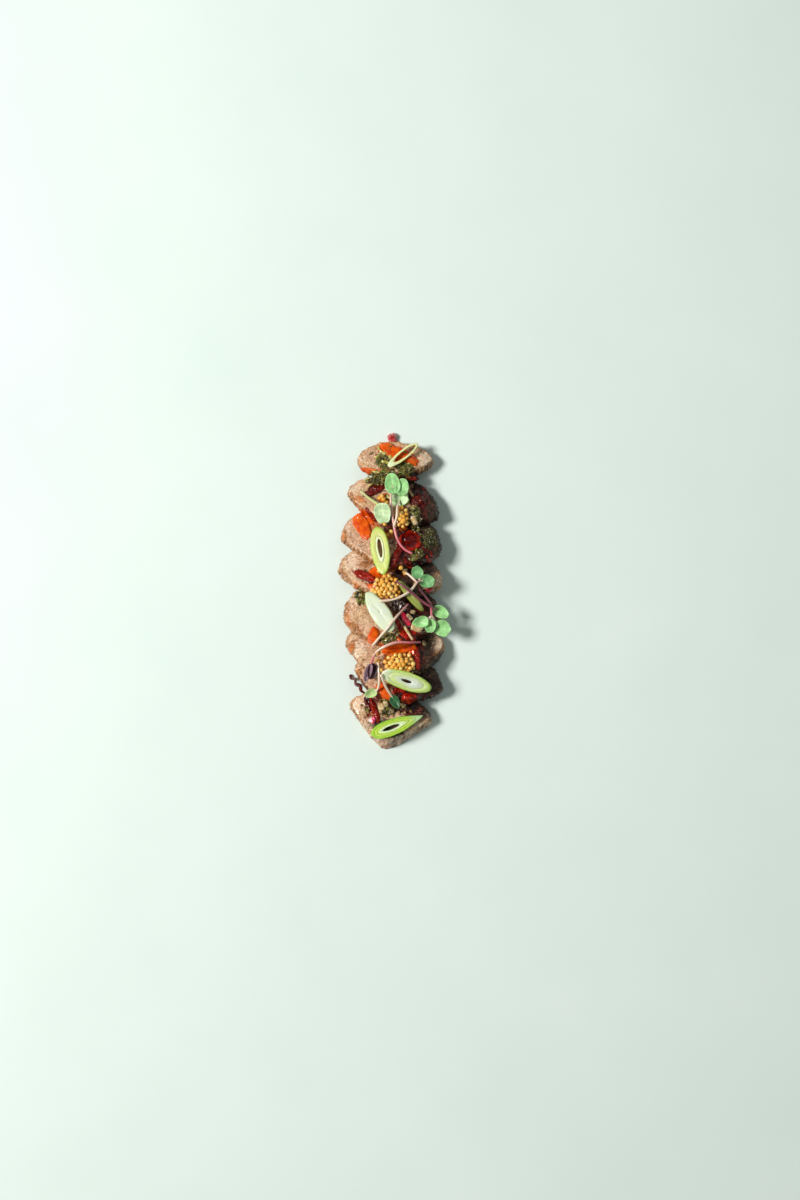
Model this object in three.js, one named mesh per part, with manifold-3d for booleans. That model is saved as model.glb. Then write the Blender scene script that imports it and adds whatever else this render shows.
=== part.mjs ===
// A sliced hanger steak under its garnish, in millimetres, +Z up.
// Eight slices lean on each other in a row along Y. Sauce, charred pepper, chopped herbs, pickled mustard
// seeds, radish, spring onion and radish sprouts lie on top of them.
// The origin is on the surface that the slices rest on, under the middle of the row.

import * as THREE from 'three';
import { mergeVertices } from 'three/addons/utils/BufferGeometryUtils.js';
import Module from 'manifold-3d';

const wasm = await Module();
wasm.setup();

// Sizes shared by all slices: the height of a face's low edge, how far the foot of a thin slice is cut off
// flat, how a slice hangs down beside the spine of the row, and its grain with the depth that shows it.
// Tilts and turns are in degrees everywhere below.
const SLICE_LOW_EDGE = 8;
const SLICE_SINK = 0.5;
const SLICE_DROOP = 0.0042;
const SLICE_GRAIN = 0.35;
const GRAIN_DEPTH = 2;
const SLICE_SHOULDER = 1.2;
const SLICE_SIDES = 28;
const ROW_SPINE = -2;

// The middle of the row in the coordinates used below.
const ROW_MIDDLE = [-0.6, 1];

// What pieces that touch keep between each other, and the gap below which one is cut back from the other.
const CLEARANCE = 0.35;
const TIGHTEST_GAP = 0.1;
const FINEST_DETAIL = 0.1;

// Half the width and length of the grid of heights, and its step.
const GRID = [45, 105, 0.5];

// A soft piece fills hollows down to DEEPEST_FILL, and its crown is smooth over SOFT_REACH.
const DEEPEST_FILL = 5;
const SOFT_REACH = 3.5;
const THINNEST_CROWN = 0.5;
const FOOT_REACH = 1.2;

const SEED_RADIUS = 1.2;
const SEED_PITCH = 2.1 * SEED_RADIUS;
const SEED_ROW_PITCH = 0.87 * SEED_PITCH;

const ONION_THICKNESS = 2.6;
const DEEPEST_OVERHANG = 9;

const STEM_RADIUS = 0.65;
const STEM_STEP = 3.2;
const STEM_SUPPORT = 7;
const LEAF_THICKNESS = 0.7;
const LEAF_CUP = 0.9;
const LEAF_TWIST = 0.5;

// The slices, from the far end of the row to the near one. Each has the slope of its cut face, the share
// by which its foot is wider than the face, and the face's outline seen from above.
const SLICES = [
  {
    tilt: 25,
    thickness: 8,
    flare: 0,
    outline: [
      [-21.3, 75.6], [-18.5, 70], [-10.6, 67.2], [-1.1, 65.5], [12.9, 68.3],
      [21.8, 74.5], [16.8, 80.6], [2.8, 84.6], [-6.7, 85.1], [-16.2, 81.2],
    ],
  },
  {
    tilt: 25,
    thickness: 7.4,
    flare: 0,
    outline: [
      [-26.9, 57.1], [-24.1, 51.5], [-14, 44.2], [-2.2, 37], [11.2, 39.2],
      [24.1, 42], [19.6, 56.6], [8.4, 63.3], [-8.4, 65], [-22.4, 62.7],
    ],
  },
  {
    tilt: 26,
    thickness: 8.4,
    flare: 0,
    outline: [
      [-30.8, 32.5], [-27.4, 28], [-15.1, 19.6], [-5.6, 13.4], [9.5, 16.2],
      [25.2, 22.4], [23.5, 34.2], [14, 43.1], [-5.6, 46.5], [-23, 43.7],
    ],
  },
  {
    tilt: 26,
    thickness: 8.8,
    flare: 0,
    outline: [
      [-31.9, 14], [-28, 7.8], [-18.5, 2.8], [-2.8, -3.4], [11.2, -0.6],
      [26.3, 5], [21.3, 17.4], [11.2, 24.1], [-5.6, 25.8], [-25.2, 23],
    ],
  },
  {
    tilt: 26,
    thickness: 8.4,
    flare: 0,
    outline: [
      [-29.1, -10.6], [-26.3, -18.5], [-18.5, -24.1], [-5, -29.1], [9.5, -25.8],
      [25.2, -16.8], [22.4, -3.9], [11.2, 2.8], [-5.6, 3.9], [-24.1, -0.6],
    ],
  },
  {
    tilt: 25,
    thickness: 7.7,
    flare: 0,
    outline: [
      [-28, -27.4], [-24.6, -34.2], [-16.2, -43.1], [-2.8, -51], [11.2, -45.9],
      [25, -36.4], [27.6, -27.4], [16.8, -19.6], [0, -16.8], [-18.5, -18.5],
    ],
  },
  {
    tilt: 24,
    thickness: 8,
    flare: 0,
    outline: [
      [-23, -42.6], [-19.6, -48.7], [-12.9, -55.4], [0.6, -61], [14, -59.4],
      [26.3, -54.9], [23.5, -44.2], [11.2, -38.1], [-5.6, -36.4], [-18.5, -38.1],
    ],
  },
  {
    tilt: 13,
    thickness: 20,
    flare: 0.07,
    outline: [
      [-25.2, -62.7], [-21.8, -69.4], [-12.9, -79], [-6.2, -84], [0.6, -82.3], [9.5, -77.8],
      [19.6, -72.8], [17.9, -66.6], [5.6, -58.8], [-11.2, -56.6], [-20.7, -58.8],
    ],
  },
];

// Soft pieces: the middle, the length and width, the turn of the length from X, and the height.
const SAUCE = [
  { at: [2.6, 77], size: [23, 8.4], turn: -27, high: 1.6 },
  { at: [-18.4, 36.7], size: [17, 8.6], turn: -66, high: 1.8 },
  { at: [-11.2, 10.1], size: [7, 6.4], turn: 0, high: 1.6 },
  { at: [-12, -25.5], size: [10.5, 6.6], turn: 74, high: 1.8 },
  { at: [1.7, -31.9], size: [19, 6.8], turn: 15, high: 1.6 },
  { at: [-6.4, -56.8], size: [12.5, 7], turn: -53, high: 1.8 },
];

const PEPPERS = [
  { at: [-11.2, 56.8], size: [13.8, 5], turn: 27, high: 1.4 },
  { at: [12.9, 50.4], size: [9.5, 8.4], turn: 0, high: 1.2 },
  { at: [7.9, 28], size: [13, 12], turn: 20, high: 1.8 },
  { at: [-16.5, 8.4], size: [15.1, 4.6], turn: -22, high: 1.5 },
  { at: [0.6, 17.4], size: [15, 5], turn: 65, high: 1.4 },
  { at: [8.2, 14.6], size: [10.9, 3.6], turn: -56, high: 1.4 },
  { at: [1.7, -8.4], size: [11.5, 6], turn: -5, high: 1.6 },
  { at: [5.9, -24.4], size: [12, 5], turn: -37, high: 1.5 },
  { at: [12.6, -38.4], size: [14, 3.6], turn: 92, high: 1.5 },
  { at: [6.8, -59.9], size: [7.6, 7.3], turn: 0, high: 1.6 },
  { at: [-11.4, -66.9], size: [13.8, 3.6], turn: -69, high: 1.4 },
];

const HERBS = [
  { at: [-7.2, 63.8], size: [15.7, 6], turn: 10, high: 2 },
  { at: [6, 68.3], size: [8.4, 6.7], turn: 0, high: 2 },
  { at: [-6.7, 73.4], size: [7.3, 6.2], turn: 0, high: 1.8 },
  { at: [11, 40.9], size: [12.3, 5.6], turn: 90, high: 1.8 },
  { at: [19, 29.7], size: [10.1, 7.8], turn: 90, high: 1.8 },
  { at: [12.4, 20.2], size: [6.4, 4.4], turn: 20, high: 1.6 },
  { at: [-19.6, -3.4], size: [7.5, 4.6], turn: 100, high: 1.4 },
  { at: [-4.4, -26.8], size: [9, 5], turn: 0, high: 1.8 },
  { at: [-5.6, -65.6], size: [8.4, 6], turn: 100, high: 1.8 },
];

const SEED_HEAPS = [
  { at: [4, 41.4], size: [15.6, 7.6], turn: 95, high: 3 },
  { at: [-3.8, 31.6], size: [7, 5.6], turn: 45, high: 2 },
  { at: [-6.1, 52.1], size: [7, 6.2], turn: 0, high: 2 },
  { at: [-5, 1.7], size: [16.6, 14.8], turn: 0, high: 3.4 },
  { at: [2.3, -40.2], size: [18, 12], turn: -5, high: 3 },
];

const RADISH = [
  { at: [-1.6, 88], size: [5.6, 4.4], turn: 0, high: 4.6, colour: 0xc95b4b },
  { at: [5.9, -15.7], size: [9.3, 3.1], turn: -57, high: 2.2, colour: 0x8b1518 },
  { at: [19.1, 0.6], size: [4.4, 4], turn: 0, high: 2, colour: 0x8b1518 },
  { at: [-12.8, -72.6], size: [4.4, 4], turn: 30, high: 1.8, colour: 0xd8707c },
];

// Spring onion cut on the bias. The hole has its own middle along the slice, and point narrows one end.
const ONIONS = [
  { at: [4.5, 76.2], size: [21.5, 5.8], turn: 39, hole: [14, 2.6], shift: 1.5, point: 0, colour: 0xb9b58c },
  { at: [-8.1, 22.4], size: [27.2, 10.4], turn: -82, hole: [11, 2.4], shift: -1.5, point: 0.1, colour: 0xaed441 },
  { at: [-8.6, -11.5], size: [25.9, 10.6], turn: -57, hole: null, shift: 0, point: -0.12, colour: 0xe8eeda },
  { at: [6.5, -50.1], size: [29, 10.4], turn: -19, hole: [7, 1.8], shift: 1, point: 0, colour: 0xcdd778 },
  { at: [1.2, -75.3], size: [31, 8.8], turn: 20, hole: [9, 1.8], shift: -3, point: 0.3, colour: 0xc2d98a },
  { at: [9.3, -3.4], size: [20.3, 4.2], turn: -51, hole: null, shift: 0, point: 0, colour: 0x8d9045 },
];

// Sprouts and loose stems: each stem's route seen from above with the leaf that it ends in, and each leaf's
// middle, length, width, turn of its tip from X, depth of the notch in its tip and height over what is below.
const SPROUTS = [
  {
    name: 'sprout_1',
    colour: 0x9ed889,
    stems: [
      { route: [[9.6, 20.7], [5, 23.5], [1.2, 29.1], [-0.5, 35.8], [-1.6, 45.4], [-2.4, 54]], leaf: 0 },
      { route: [[-2.4, 54], [-0.4, 55.4]], leaf: 1 },
      { route: [[-0.5, 35.8], [1.2, 43.1], [1.6, 49]], leaf: 2 },
    ],
    leaves: [
      { at: [-1.6, 61.4], size: [9.6, 8], turn: 100, notch: 0.1, lift: 1.6 },
      { at: [3.8, 58.6], size: [8.6, 7.4], turn: 40, notch: 0.1, lift: 1 },
      { at: [4, 52.6], size: [8.4, 7], turn: 60, notch: 0.25, lift: 0.4 },
    ],
  },
  {
    name: 'sprout_2',
    colour: 0xbfe3a2,
    stems: [{ route: [[-19, 56], [-14.5, 52.1], [-10, 49]], leaf: 0 }],
    leaves: [{ at: [-6.9, 43], size: [12.6, 9], turn: -80, notch: 0.3, lift: 1 }],
  },
  {
    name: 'sprout_3',
    colour: 0x7db374,
    stems: [
      { route: [[-8.4, -5.6], [-1.6, -5], [4, -2.8], [9, 0.6], [13.5, 5.8]], leaf: 1 },
      { route: [[13.5, 5.8], [13.8, 7]], leaf: 0 },
    ],
    leaves: [
      { at: [12.4, 10.4], size: [7.6, 6.6], turn: 115, notch: 0.15, lift: 1.4 },
      { at: [18, 5.4], size: [9, 7], turn: -10, notch: 0.2, lift: 0.8 },
    ],
  },
  {
    name: 'sprout_4',
    colour: 0x88b467,
    stems: [
      { route: [[12.9, 1.7], [19.6, -7.3], [20.4, -14]], leaf: 1 },
      { route: [[20.4, -14], [19.4, -15.6]], leaf: 0 },
      { route: [[20.4, -14], [22, -17]], leaf: 2 },
    ],
    leaves: [
      { at: [15, -17.4], size: [10, 8.4], turn: 190, notch: 0.25, lift: 1.2 },
      { at: [20.2, -19.4], size: [9, 7], turn: -90, notch: 0.15, lift: 0.8 },
      { at: [26.6, -21], size: [10.4, 9], turn: -40, notch: 0.25, lift: 1.8 },
    ],
  },
  {
    name: 'sprout_8',
    colour: 0x88b467,
    stems: [{ route: [[1, 5.3], [7.3, 0.6], [14, -5], [20.4, -9.2]], leaf: 0 }],
    leaves: [{ at: [25.6, -11.8], size: [9.8, 6.4], turn: -30, notch: 0.1, lift: 2.4 }],
  },
  {
    name: 'sprout_5',
    colour: 0x90747a,
    stems: [{ route: [[14, -28.6], [7.3, -28.6], [0.6, -28.6], [-6.7, -31.4], [-12.3, -36.4]], leaf: 0 }],
    leaves: [{ at: [-14.4, -45], size: [9.6, 6.4], turn: 235, notch: 0.1, lift: 1 }],
  },
  {
    name: 'sprout_6',
    colour: 0x9cc58a,
    stems: [{ route: [[-9.5, -39.8], [-8.9, -47], [-9.4, -54]], leaf: 0 }],
    leaves: [{ at: [-13.6, -57.4], size: [6.4, 5], turn: 200, notch: 0.1, lift: 0.8 }],
  },
  {
    name: 'sprout_7',
    colour: 0x4c7a3e,
    stems: [{ route: [[-7.6, -46.2], [-5, -53.2], [-2.8, -57]], leaf: 0 }],
    leaves: [{ at: [0, -61.6], size: [8, 6], turn: -60, notch: 0, lift: 1 }],
  },
  {
    name: 'stem_1',
    colour: 0xcfb29d,
    stems: [{ route: [[-12.3, -30.2], [-6.1, -23], [0.6, -14.6], [7.3, -7.3]] }],
    leaves: [],
  },
  {
    name: 'stem_2',
    colour: 0xcfb29d,
    stems: [{ route: [[6.2, 10.1], [9.6, 7.3], [12.6, 4.2]] }],
    leaves: [],
  },
  {
    name: 'stem_3',
    colour: 0x5c3a3c,
    stems: [{ route: [[-25, -48.5], [-21.5, -52.2], [-17, -57]] }],
    leaves: [],
  },
];

// The colours of the pieces whose tables give none.
const MEAT_COLOUR = 0xd9b795;
const SAUCE_COLOUR = 0xdc5f0a;
const PEPPER_COLOUR = 0x86230f;
const HERB_COLOUR = 0x5f6333;
const SEED_COLOUR = 0xd18e1a;

const radians = THREE.MathUtils.degToRad;
const lerp = THREE.MathUtils.lerp;

// A smooth, fixed unevenness between about -1 and 1.
function waves(x, y, z = 0) {
  const wide = Math.sin(0.61 * x + 0.37 * y + 0.3 * z) * Math.cos(0.53 * y - 0.29 * x + 1.1);
  const narrow = Math.sin(1.27 * x - 0.83 * y + 2.3) * Math.cos(1.13 * y + 0.71 * x + 0.5 * z);
  return 0.6 * wide + 0.4 * narrow;
}

// The closed solid inside a geometry, with its doubled vertices merged and its collapsed faces dropped.
function solidOf(geometry) {
  geometry.deleteAttribute('normal');
  geometry.deleteAttribute('uv');
  const merged = mergeVertices(geometry, 1e-4);
  const corners = merged.index.array;
  const kept = [];
  for (let i = 0; i < corners.length; i += 3) {
    const [a, b, c] = corners.slice(i, i + 3);
    if (a !== b && b !== c && c !== a) kept.push(a, b, c);
  }
  return new wasm.Manifold(new wasm.Mesh({
    numProp: 3,
    vertProperties: merged.attributes.position.array,
    triVerts: new Uint32Array(kept),
  }));
}

function geometryOf(solid) {
  const { vertProperties, triVerts } = solid.getMesh();
  const geometry = new THREE.BufferGeometry();
  geometry.setAttribute('position', new THREE.BufferAttribute(new Float32Array(vertProperties), 3));
  geometry.setIndex(new THREE.BufferAttribute(new Uint32Array(triVerts), 1));
  return geometry;
}

// A solid of revolution about Z, each vertex of which is then moved by place(vertex). The faces past the
// profile's point number fold are split along the other diagonal, so that the two sides of a thin piece
// whose profile runs back over itself have the same edges and never cross.
function lathed(profile, sides, place, fold = profile.length) {
  const points = profile.map(([radius, height]) => new THREE.Vector2(radius, height));
  const geometry = new THREE.LatheGeometry(points, sides).rotateX(Math.PI / 2);
  const corners = geometry.index.array;
  for (let quad = 0; 6 * quad < corners.length; quad++) {
    if (quad % (profile.length - 1) < fold) continue;
    const [a, b, d, c] = corners.slice(6 * quad, 6 * quad + 4);
    corners.set([a, b, c, a, c, d], 6 * quad);
  }
  const position = geometry.getAttribute('position');
  const vertex = new THREE.Vector3();
  for (let i = 0; i < position.count; i++) {
    place(vertex.fromBufferAttribute(position, i));
    position.setXYZ(i, vertex.x, vertex.y, vertex.z);
  }
  return solidOf(geometry);
}

// The solid pushed out along its normals: the room that a piece needs for itself.
function swollen(solid, by) {
  const geometry = geometryOf(solid);
  geometry.computeVertexNormals();
  const { position, normal } = geometry.attributes;
  for (let i = 0; i < position.count; i++) {
    position.setXYZ(
      i,
      position.getX(i) + by * normal.getX(i),
      position.getY(i) + by * normal.getY(i),
      position.getZ(i) + by * normal.getZ(i),
    );
  }
  return solidOf(geometry);
}

// The height of what is laid so far over each point of a square grid, zero where nothing lies.
class Relief {
  constructor(halfWidth, halfLength, step) {
    this.step = step;
    this.left = -halfWidth;
    this.near = -halfLength;
    this.columns = Math.ceil((2 * halfWidth) / step) + 1;
    this.rows = Math.ceil((2 * halfLength) / step) + 1;
    this.heights = new Float32Array(this.columns * this.rows);
  }

  // Raises the grid to the solid's upper side.
  cover(solid) {
    const geometry = geometryOf(solid).toNonIndexed();
    const position = geometry.getAttribute('position');
    const triangle = new THREE.Triangle();
    const box = new THREE.Box3();
    const point = new THREE.Vector3();
    const weights = new THREE.Vector3();
    for (let i = 0; i < position.count; i += 3) {
      triangle.setFromAttributeAndIndices(position, i, i + 1, i + 2);
      box.setFromPoints([triangle.a, triangle.b, triangle.c]);
      const flat = new THREE.Triangle(
        triangle.a.clone().setZ(0),
        triangle.b.clone().setZ(0),
        triangle.c.clone().setZ(0),
      );
      const firstRow = Math.max(0, Math.ceil((box.min.y - this.near) / this.step));
      const lastRow = Math.min(this.rows - 1, Math.floor((box.max.y - this.near) / this.step));
      const firstColumn = Math.max(0, Math.ceil((box.min.x - this.left) / this.step));
      const lastColumn = Math.min(this.columns - 1, Math.floor((box.max.x - this.left) / this.step));
      for (let row = firstRow; row <= lastRow; row++) {
        for (let column = firstColumn; column <= lastColumn; column++) {
          point.set(this.left + column * this.step, this.near + row * this.step, 0);
          if (!flat.getBarycoord(point, weights)) continue;
          if (Math.min(weights.x, weights.y, weights.z) < 0) continue;
          const height = weights.x * triangle.a.z + weights.y * triangle.b.z + weights.z * triangle.c.z;
          const index = row * this.columns + column;
          this.heights[index] = Math.max(this.heights[index], height);
        }
      }
    }
  }

  at(x, y) {
    const column = Math.round((x - this.left) / this.step);
    const row = Math.round((y - this.near) / this.step);
    if (column < 0 || row < 0 || column >= this.columns || row >= this.rows) return 0;
    return this.heights[row * this.columns + column];
  }

  // The heights at a point and on two rings round it.
  around(x, y, radius) {
    const found = [this.at(x, y)];
    for (const share of [0.5, 1]) {
      for (let turn = 0; turn < 8; turn++) {
        const angle = (turn / 8) * 2 * Math.PI;
        found.push(this.at(x + share * radius * Math.cos(angle), y + share * radius * Math.sin(angle)));
      }
    }
    return found;
  }

  mean(x, y, radius) {
    const found = this.around(x, y, radius);
    return found.reduce((sum, height) => sum + height, 0) / found.length;
  }

  peak(x, y, radius) {
    return Math.max(...this.around(x, y, radius));
  }
}

const relief = new Relief(...GRID);
const steak = new THREE.Group();
const laid = [];

function boxesMeet(one, other) {
  const a = one.boundingBox();
  const b = other.boundingBox();
  return [0, 1, 2].every((axis) => a.min[axis] <= b.max[axis] && a.max[axis] >= b.min[axis]);
}

// Lays a piece on the others: cuts it back where it comes too near, adds it to the group and the relief.
function lay(name, solid, colour, roughness) {
  let piece = solid;
  for (const { skin, room } of laid) {
    if (boxesMeet(piece, skin) && !piece.intersect(skin).isEmpty()) piece = piece.subtract(room);
  }
  const bodies = piece.decompose().sort((a, b) => b.volume() - a.volume());
  const body = bodies[0].asOriginal().simplify(FINEST_DETAIL);
  laid.push({ skin: swollen(body, TIGHTEST_GAP), room: swollen(body, CLEARANCE) });
  relief.cover(body);
  const material = new THREE.MeshStandardMaterial({ color: colour, roughness, metalness: 0 });
  const mesh = new THREE.Mesh(geometryOf(body), material);
  mesh.name = name;
  steak.add(mesh);
  return body;
}

// A slice lies along its slope. Its profile runs from the middle of the foot round the crust to the
// middle of the face, and height 0 is the face.
function sliceSolid({ tilt, thickness, flare, outline }, number) {
  const slope = radians(tilt);
  const points = outline.map(([x, y]) => new THREE.Vector3(x, y, 0));
  const rim = new THREE.CatmullRomCurve3(points, true, 'centripetal');
  const middle = new THREE.Vector3();
  points.forEach((point) => middle.add(point));
  middle.divideScalar(points.length);
  const low = Math.max(...outline.map(([, y]) => y));
  const lowEdge = Math.min(SLICE_LOW_EDGE, thickness * Math.cos(slope) - SLICE_SINK);
  const profile = [
    [0, -thickness], [0.6, -thickness], [0.95, -thickness],
    [1, -0.85 * thickness], [1.02, -0.5 * thickness], [1, -SLICE_SHOULDER],
    [0.96, -0.1], [0.72, 0], [0.4, 0], [0, 0],
  ];
  const solid = lathed(profile, SLICE_SIDES, (vertex) => {
    const depth = vertex.z;
    const radius = Math.hypot(vertex.x, vertex.y);
    const along = (Math.atan2(vertex.y, vertex.x) / (2 * Math.PI) + 1) % 1;
    const edge = rim.getPoint(along);
    const widened = radius * (1 - (flare * depth) / thickness);
    const x = lerp(middle.x, edge.x, widened);
    const y = lerp(middle.y, edge.y, widened);
    const rise = (low - y) * Math.tan(slope);
    const droop = SLICE_DROOP * (x - ROW_SPINE) ** 2;
    const grain = depth > -GRAIN_DEPTH ? SLICE_GRAIN * waves(x, y, 7 * number) : 0;
    vertex.x = x + grain;
    vertex.y = y + depth * Math.sin(slope);
    vertex.z = lowEdge + rise - droop + depth * Math.cos(slope) + grain;
  });
  return solid.intersect(aboveSurface);
}

// The place of a point given by its share of a turned ellipse.
function onEllipse({ at, size, turn }, across, up) {
  const angle = radians(turn);
  const x = (across * size[0]) / 2;
  const y = (up * size[1]) / 2;
  return [
    at[0] + x * Math.cos(angle) - y * Math.sin(angle),
    at[1] + x * Math.sin(angle) + y * Math.cos(angle),
  ];
}

// A soft piece fills what lies under it: its foot follows the relief and its crown smooths it out.
function softSolid(spec, sides, lumps) {
  const reach = Math.min(SOFT_REACH, 0.4 * Math.min(...spec.size));
  const profile = [[0, 0], [0.5, 0], [0.9, 0], [1, 0.4], [0.9, 0.8], [0.5, 1], [0, 1]];
  return lathed(profile, sides, (vertex) => {
    const share = vertex.z;
    const radius = Math.hypot(vertex.x, vertex.y);
    const angle = Math.atan2(vertex.y, vertex.x);
    const wobble = 1 + 0.1 * Math.sin(3 * angle + spec.at[0]) + 0.07 * Math.sin(5 * angle + spec.at[1]);
    const [x, y] = onEllipse(spec, vertex.x * wobble, vertex.y * wobble);
    const below = relief.peak(x, y, FOOT_REACH);
    const dome = spec.high * (1 - 0.6 * radius ** 2) + lumps * waves(2.3 * x, 2.3 * y);
    const crown = Math.max(relief.mean(x, y, reach) + dome, below + THINNEST_CROWN) + CLEARANCE;
    const foot = Math.max(below > 0 ? below + CLEARANCE : 0, crown - DEEPEST_FILL);
    vertex.set(x, y, lerp(foot, crown, share));
  }, 3);
}

// A heap is a soft core with seeds fused to it, in close rows with a little disorder.
function heapSolid(spec, random) {
  let heap = softSolid(spec, 10, 0.2);
  const top = new Relief(...GRID);
  top.cover(heap);
  const [halfLength, halfWidth] = spec.size.map((side) => side / 2 - 0.3 * SEED_RADIUS);
  const rows = Math.floor(halfWidth / SEED_ROW_PITCH);
  const columns = Math.ceil(halfLength / SEED_PITCH);
  for (let row = -rows; row <= rows; row++) {
    for (let column = -columns; column <= columns; column++) {
      const across = ((column + 0.5 * (row % 2)) * SEED_PITCH) / halfLength;
      const up = (row * SEED_ROW_PITCH) / halfWidth;
      if (Math.hypot(across, up) > 1) continue;
      const [x, y] = onEllipse({ ...spec, size: [2 * halfLength, 2 * halfWidth] }, across, up);
      const seed = new THREE.IcosahedronGeometry(SEED_RADIUS * (0.94 + 0.08 * random()), 0)
        .rotateX(6 * random())
        .rotateZ(6 * random())
        .translate(x, y, top.mean(x, y, 0.5) + 0.5 * SEED_RADIUS);
      heap = heap.add(solidOf(seed));
    }
  }
  return heap;
}

// The plane that fits the relief under a stiff piece and touches its highest point: [height, x, y slope].
// What the piece overhangs by far doesn't count.
function restingPlane(points) {
  const highest = Math.max(...points.map(([x, y]) => relief.at(x, y)));
  const samples = points
    .map(([x, y]) => [x, y, relief.mean(x, y, 1)])
    .filter(([, , height]) => height > highest - DEEPEST_OVERHANG);
  const count = samples.length;
  const mid = [0, 1, 2].map((axis) => samples.reduce((sum, sample) => sum + sample[axis], 0) / count);
  let xx = 0;
  let xy = 0;
  let yy = 0;
  let xz = 0;
  let yz = 0;
  for (const [x, y, z] of samples) {
    xx += (x - mid[0]) ** 2;
    xy += (x - mid[0]) * (y - mid[1]);
    yy += (y - mid[1]) ** 2;
    xz += (x - mid[0]) * (z - mid[2]);
    yz += (y - mid[1]) * (z - mid[2]);
  }
  const spread = xx * yy - xy * xy;
  const slopeX = (xz * yy - yz * xy) / spread;
  const slopeY = (yz * xx - xz * xy) / spread;
  const base = mid[2] - slopeX * mid[0] - slopeY * mid[1];
  const rise = Math.max(...points.map(([x, y]) => relief.at(x, y) - base - slopeX * x - slopeY * y));
  return [base + rise, slopeX, slopeY];
}

// A slice of spring onion: a ring or a disc, stiff, on three points of what lies under it.
function onionSolid(spec) {
  const { size, hole, shift, point } = spec;
  const footprint = [];
  for (let across = -1; across <= 1; across += 0.1) {
    for (let up = -1; up <= 1; up += 0.25) {
      if (across ** 2 + up ** 2 <= 1) footprint.push(onEllipse(spec, across, up));
    }
  }
  const [base, slopeX, slopeY] = restingPlane(footprint);
  const high = Math.min(ONION_THICKNESS, 0.6 * size[1]);
  const ring = [[1, 0.15], [1.5, 0], [2, 0.3], [2, 0.7], [1.6, 1], [1, 0.85], [1, 0.15]];
  const disc = [[0, 0], [0.7, 0], [1, 0.35], [1, 0.7], [0.75, 1], [0.4, 1], [0, 1]];
  return lathed(hole ? ring : disc, 18, (vertex) => {
    const radius = Math.hypot(vertex.x, vertex.y);
    const angle = Math.atan2(vertex.y, vertex.x);
    const share = hole ? radius - 1 : radius;
    const outward = [Math.cos(angle), Math.sin(angle) * (1 - point * Math.cos(angle))];
    const inward = hole
      ? [(hole[0] * Math.cos(angle) + 2 * shift) / size[0], (hole[1] * Math.sin(angle)) / size[1]]
      : [0, 0];
    const [x, y] = onEllipse(spec, lerp(inward[0], outward[0], share), lerp(inward[1], outward[1], share));
    vertex.set(x, y, base + slopeX * x + slopeY * y + CLEARANCE + high * vertex.z);
  });
}

// The heights of a stem pulled straight over the relief between two ends: the upper hull of what is under it.
function tautHeights(places, start, end) {
  const hull = [];
  const under = places.map(([x, y]) => {
    const support = Math.max(relief.peak(x, y, 1.4 * STEM_RADIUS), relief.mean(x, y, STEM_SUPPORT));
    return support + STEM_RADIUS + CLEARANCE;
  });
  under[0] = Math.max(under[0], start);
  under[under.length - 1] = Math.max(under[under.length - 1], end);
  under.forEach((height, i) => {
    while (hull.length > 1) {
      const [before, last] = hull.slice(-2);
      if (last[1] > lerp(before[1], height, (last[0] - before[0]) / (i - before[0]))) break;
      hull.pop();
    }
    hull.push([i, height]);
  });
  return places.map((_, i) => {
    const next = Math.max(1, hull.findIndex(([index]) => index >= i));
    const [from, to] = hull.slice(next - 1, next + 1);
    return lerp(from[1], to[1], (i - from[0]) / (to[0] - from[0]));
  });
}

// The points of a stem's middle line.
function stemLine(route, start, end) {
  const plan = new THREE.CatmullRomCurve3(route.map(([x, y]) => new THREE.Vector3(x, y, 0)));
  const steps = 2 * Math.max(3, Math.round(plan.getLength() / STEM_STEP));
  const places = plan.getSpacedPoints(steps).map(({ x, y }) => [x, y]);
  const heights = tautHeights(places, start, end);
  return places.map(([x, y], i) => new THREE.Vector3(x, y, heights[i]));
}

function tubeSolid(points) {
  const section = new THREE.Shape();
  section.absarc(0, 0, STEM_RADIUS, 0, 2 * Math.PI);
  const tube = new THREE.ExtrudeGeometry(section, {
    steps: (points.length - 1) / 2,
    curveSegments: 3,
    bevelEnabled: false,
    extrudePath: new THREE.CatmullRomCurve3(points),
  });
  return solidOf(tube);
}

function leafHeight({ at, size, lift }) {
  return relief.peak(at[0], at[1], 0.45 * size[0]) + CLEARANCE + lift;
}

// A seed leaf: a thin wavy sheet, cupped a little, with a notch in its tip.
function leafSolid(leaf) {
  const half = LEAF_THICKNESS / 2;
  const profile = [[0, -half], [0.65, -half], [1, 0], [0.65, half], [0, half]];
  const base = leafHeight(leaf);
  return lathed(profile, 12, (vertex) => {
    const radius = Math.hypot(vertex.x, vertex.y);
    const angle = Math.atan2(vertex.y, vertex.x);
    const shape = 1 - leaf.notch * Math.exp(-((angle / 0.4) ** 2));
    const [x, y] = onEllipse(leaf, vertex.x * shape, vertex.y * shape);
    const rise = LEAF_CUP * radius ** 2 + LEAF_TWIST * radius * Math.cos(2 * angle + 1);
    vertex.set(x, y, base + rise + vertex.z);
  });
}

// A stem starts on an earlier one of its sprout where they meet, and runs up into the base of its leaf.
function sproutSolid({ stems, leaves }) {
  const grown = [];
  const parts = leaves.map(leafSolid);
  for (const { route, leaf } of stems) {
    const [x, y] = route[0];
    const fork = grown.find((point) => Math.hypot(point.x - x, point.y - y) < STEM_STEP / 2);
    const places = leaf === undefined ? route : [...route, onEllipse(leaves[leaf], -0.5, 0)];
    const line = stemLine(places, fork ? fork.z : 0, leaf === undefined ? 0 : leafHeight(leaves[leaf]));
    grown.push(...line);
    parts.push(tubeSolid(line));
  }
  return parts.reduce((whole, part) => whole.add(part));
}

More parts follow.
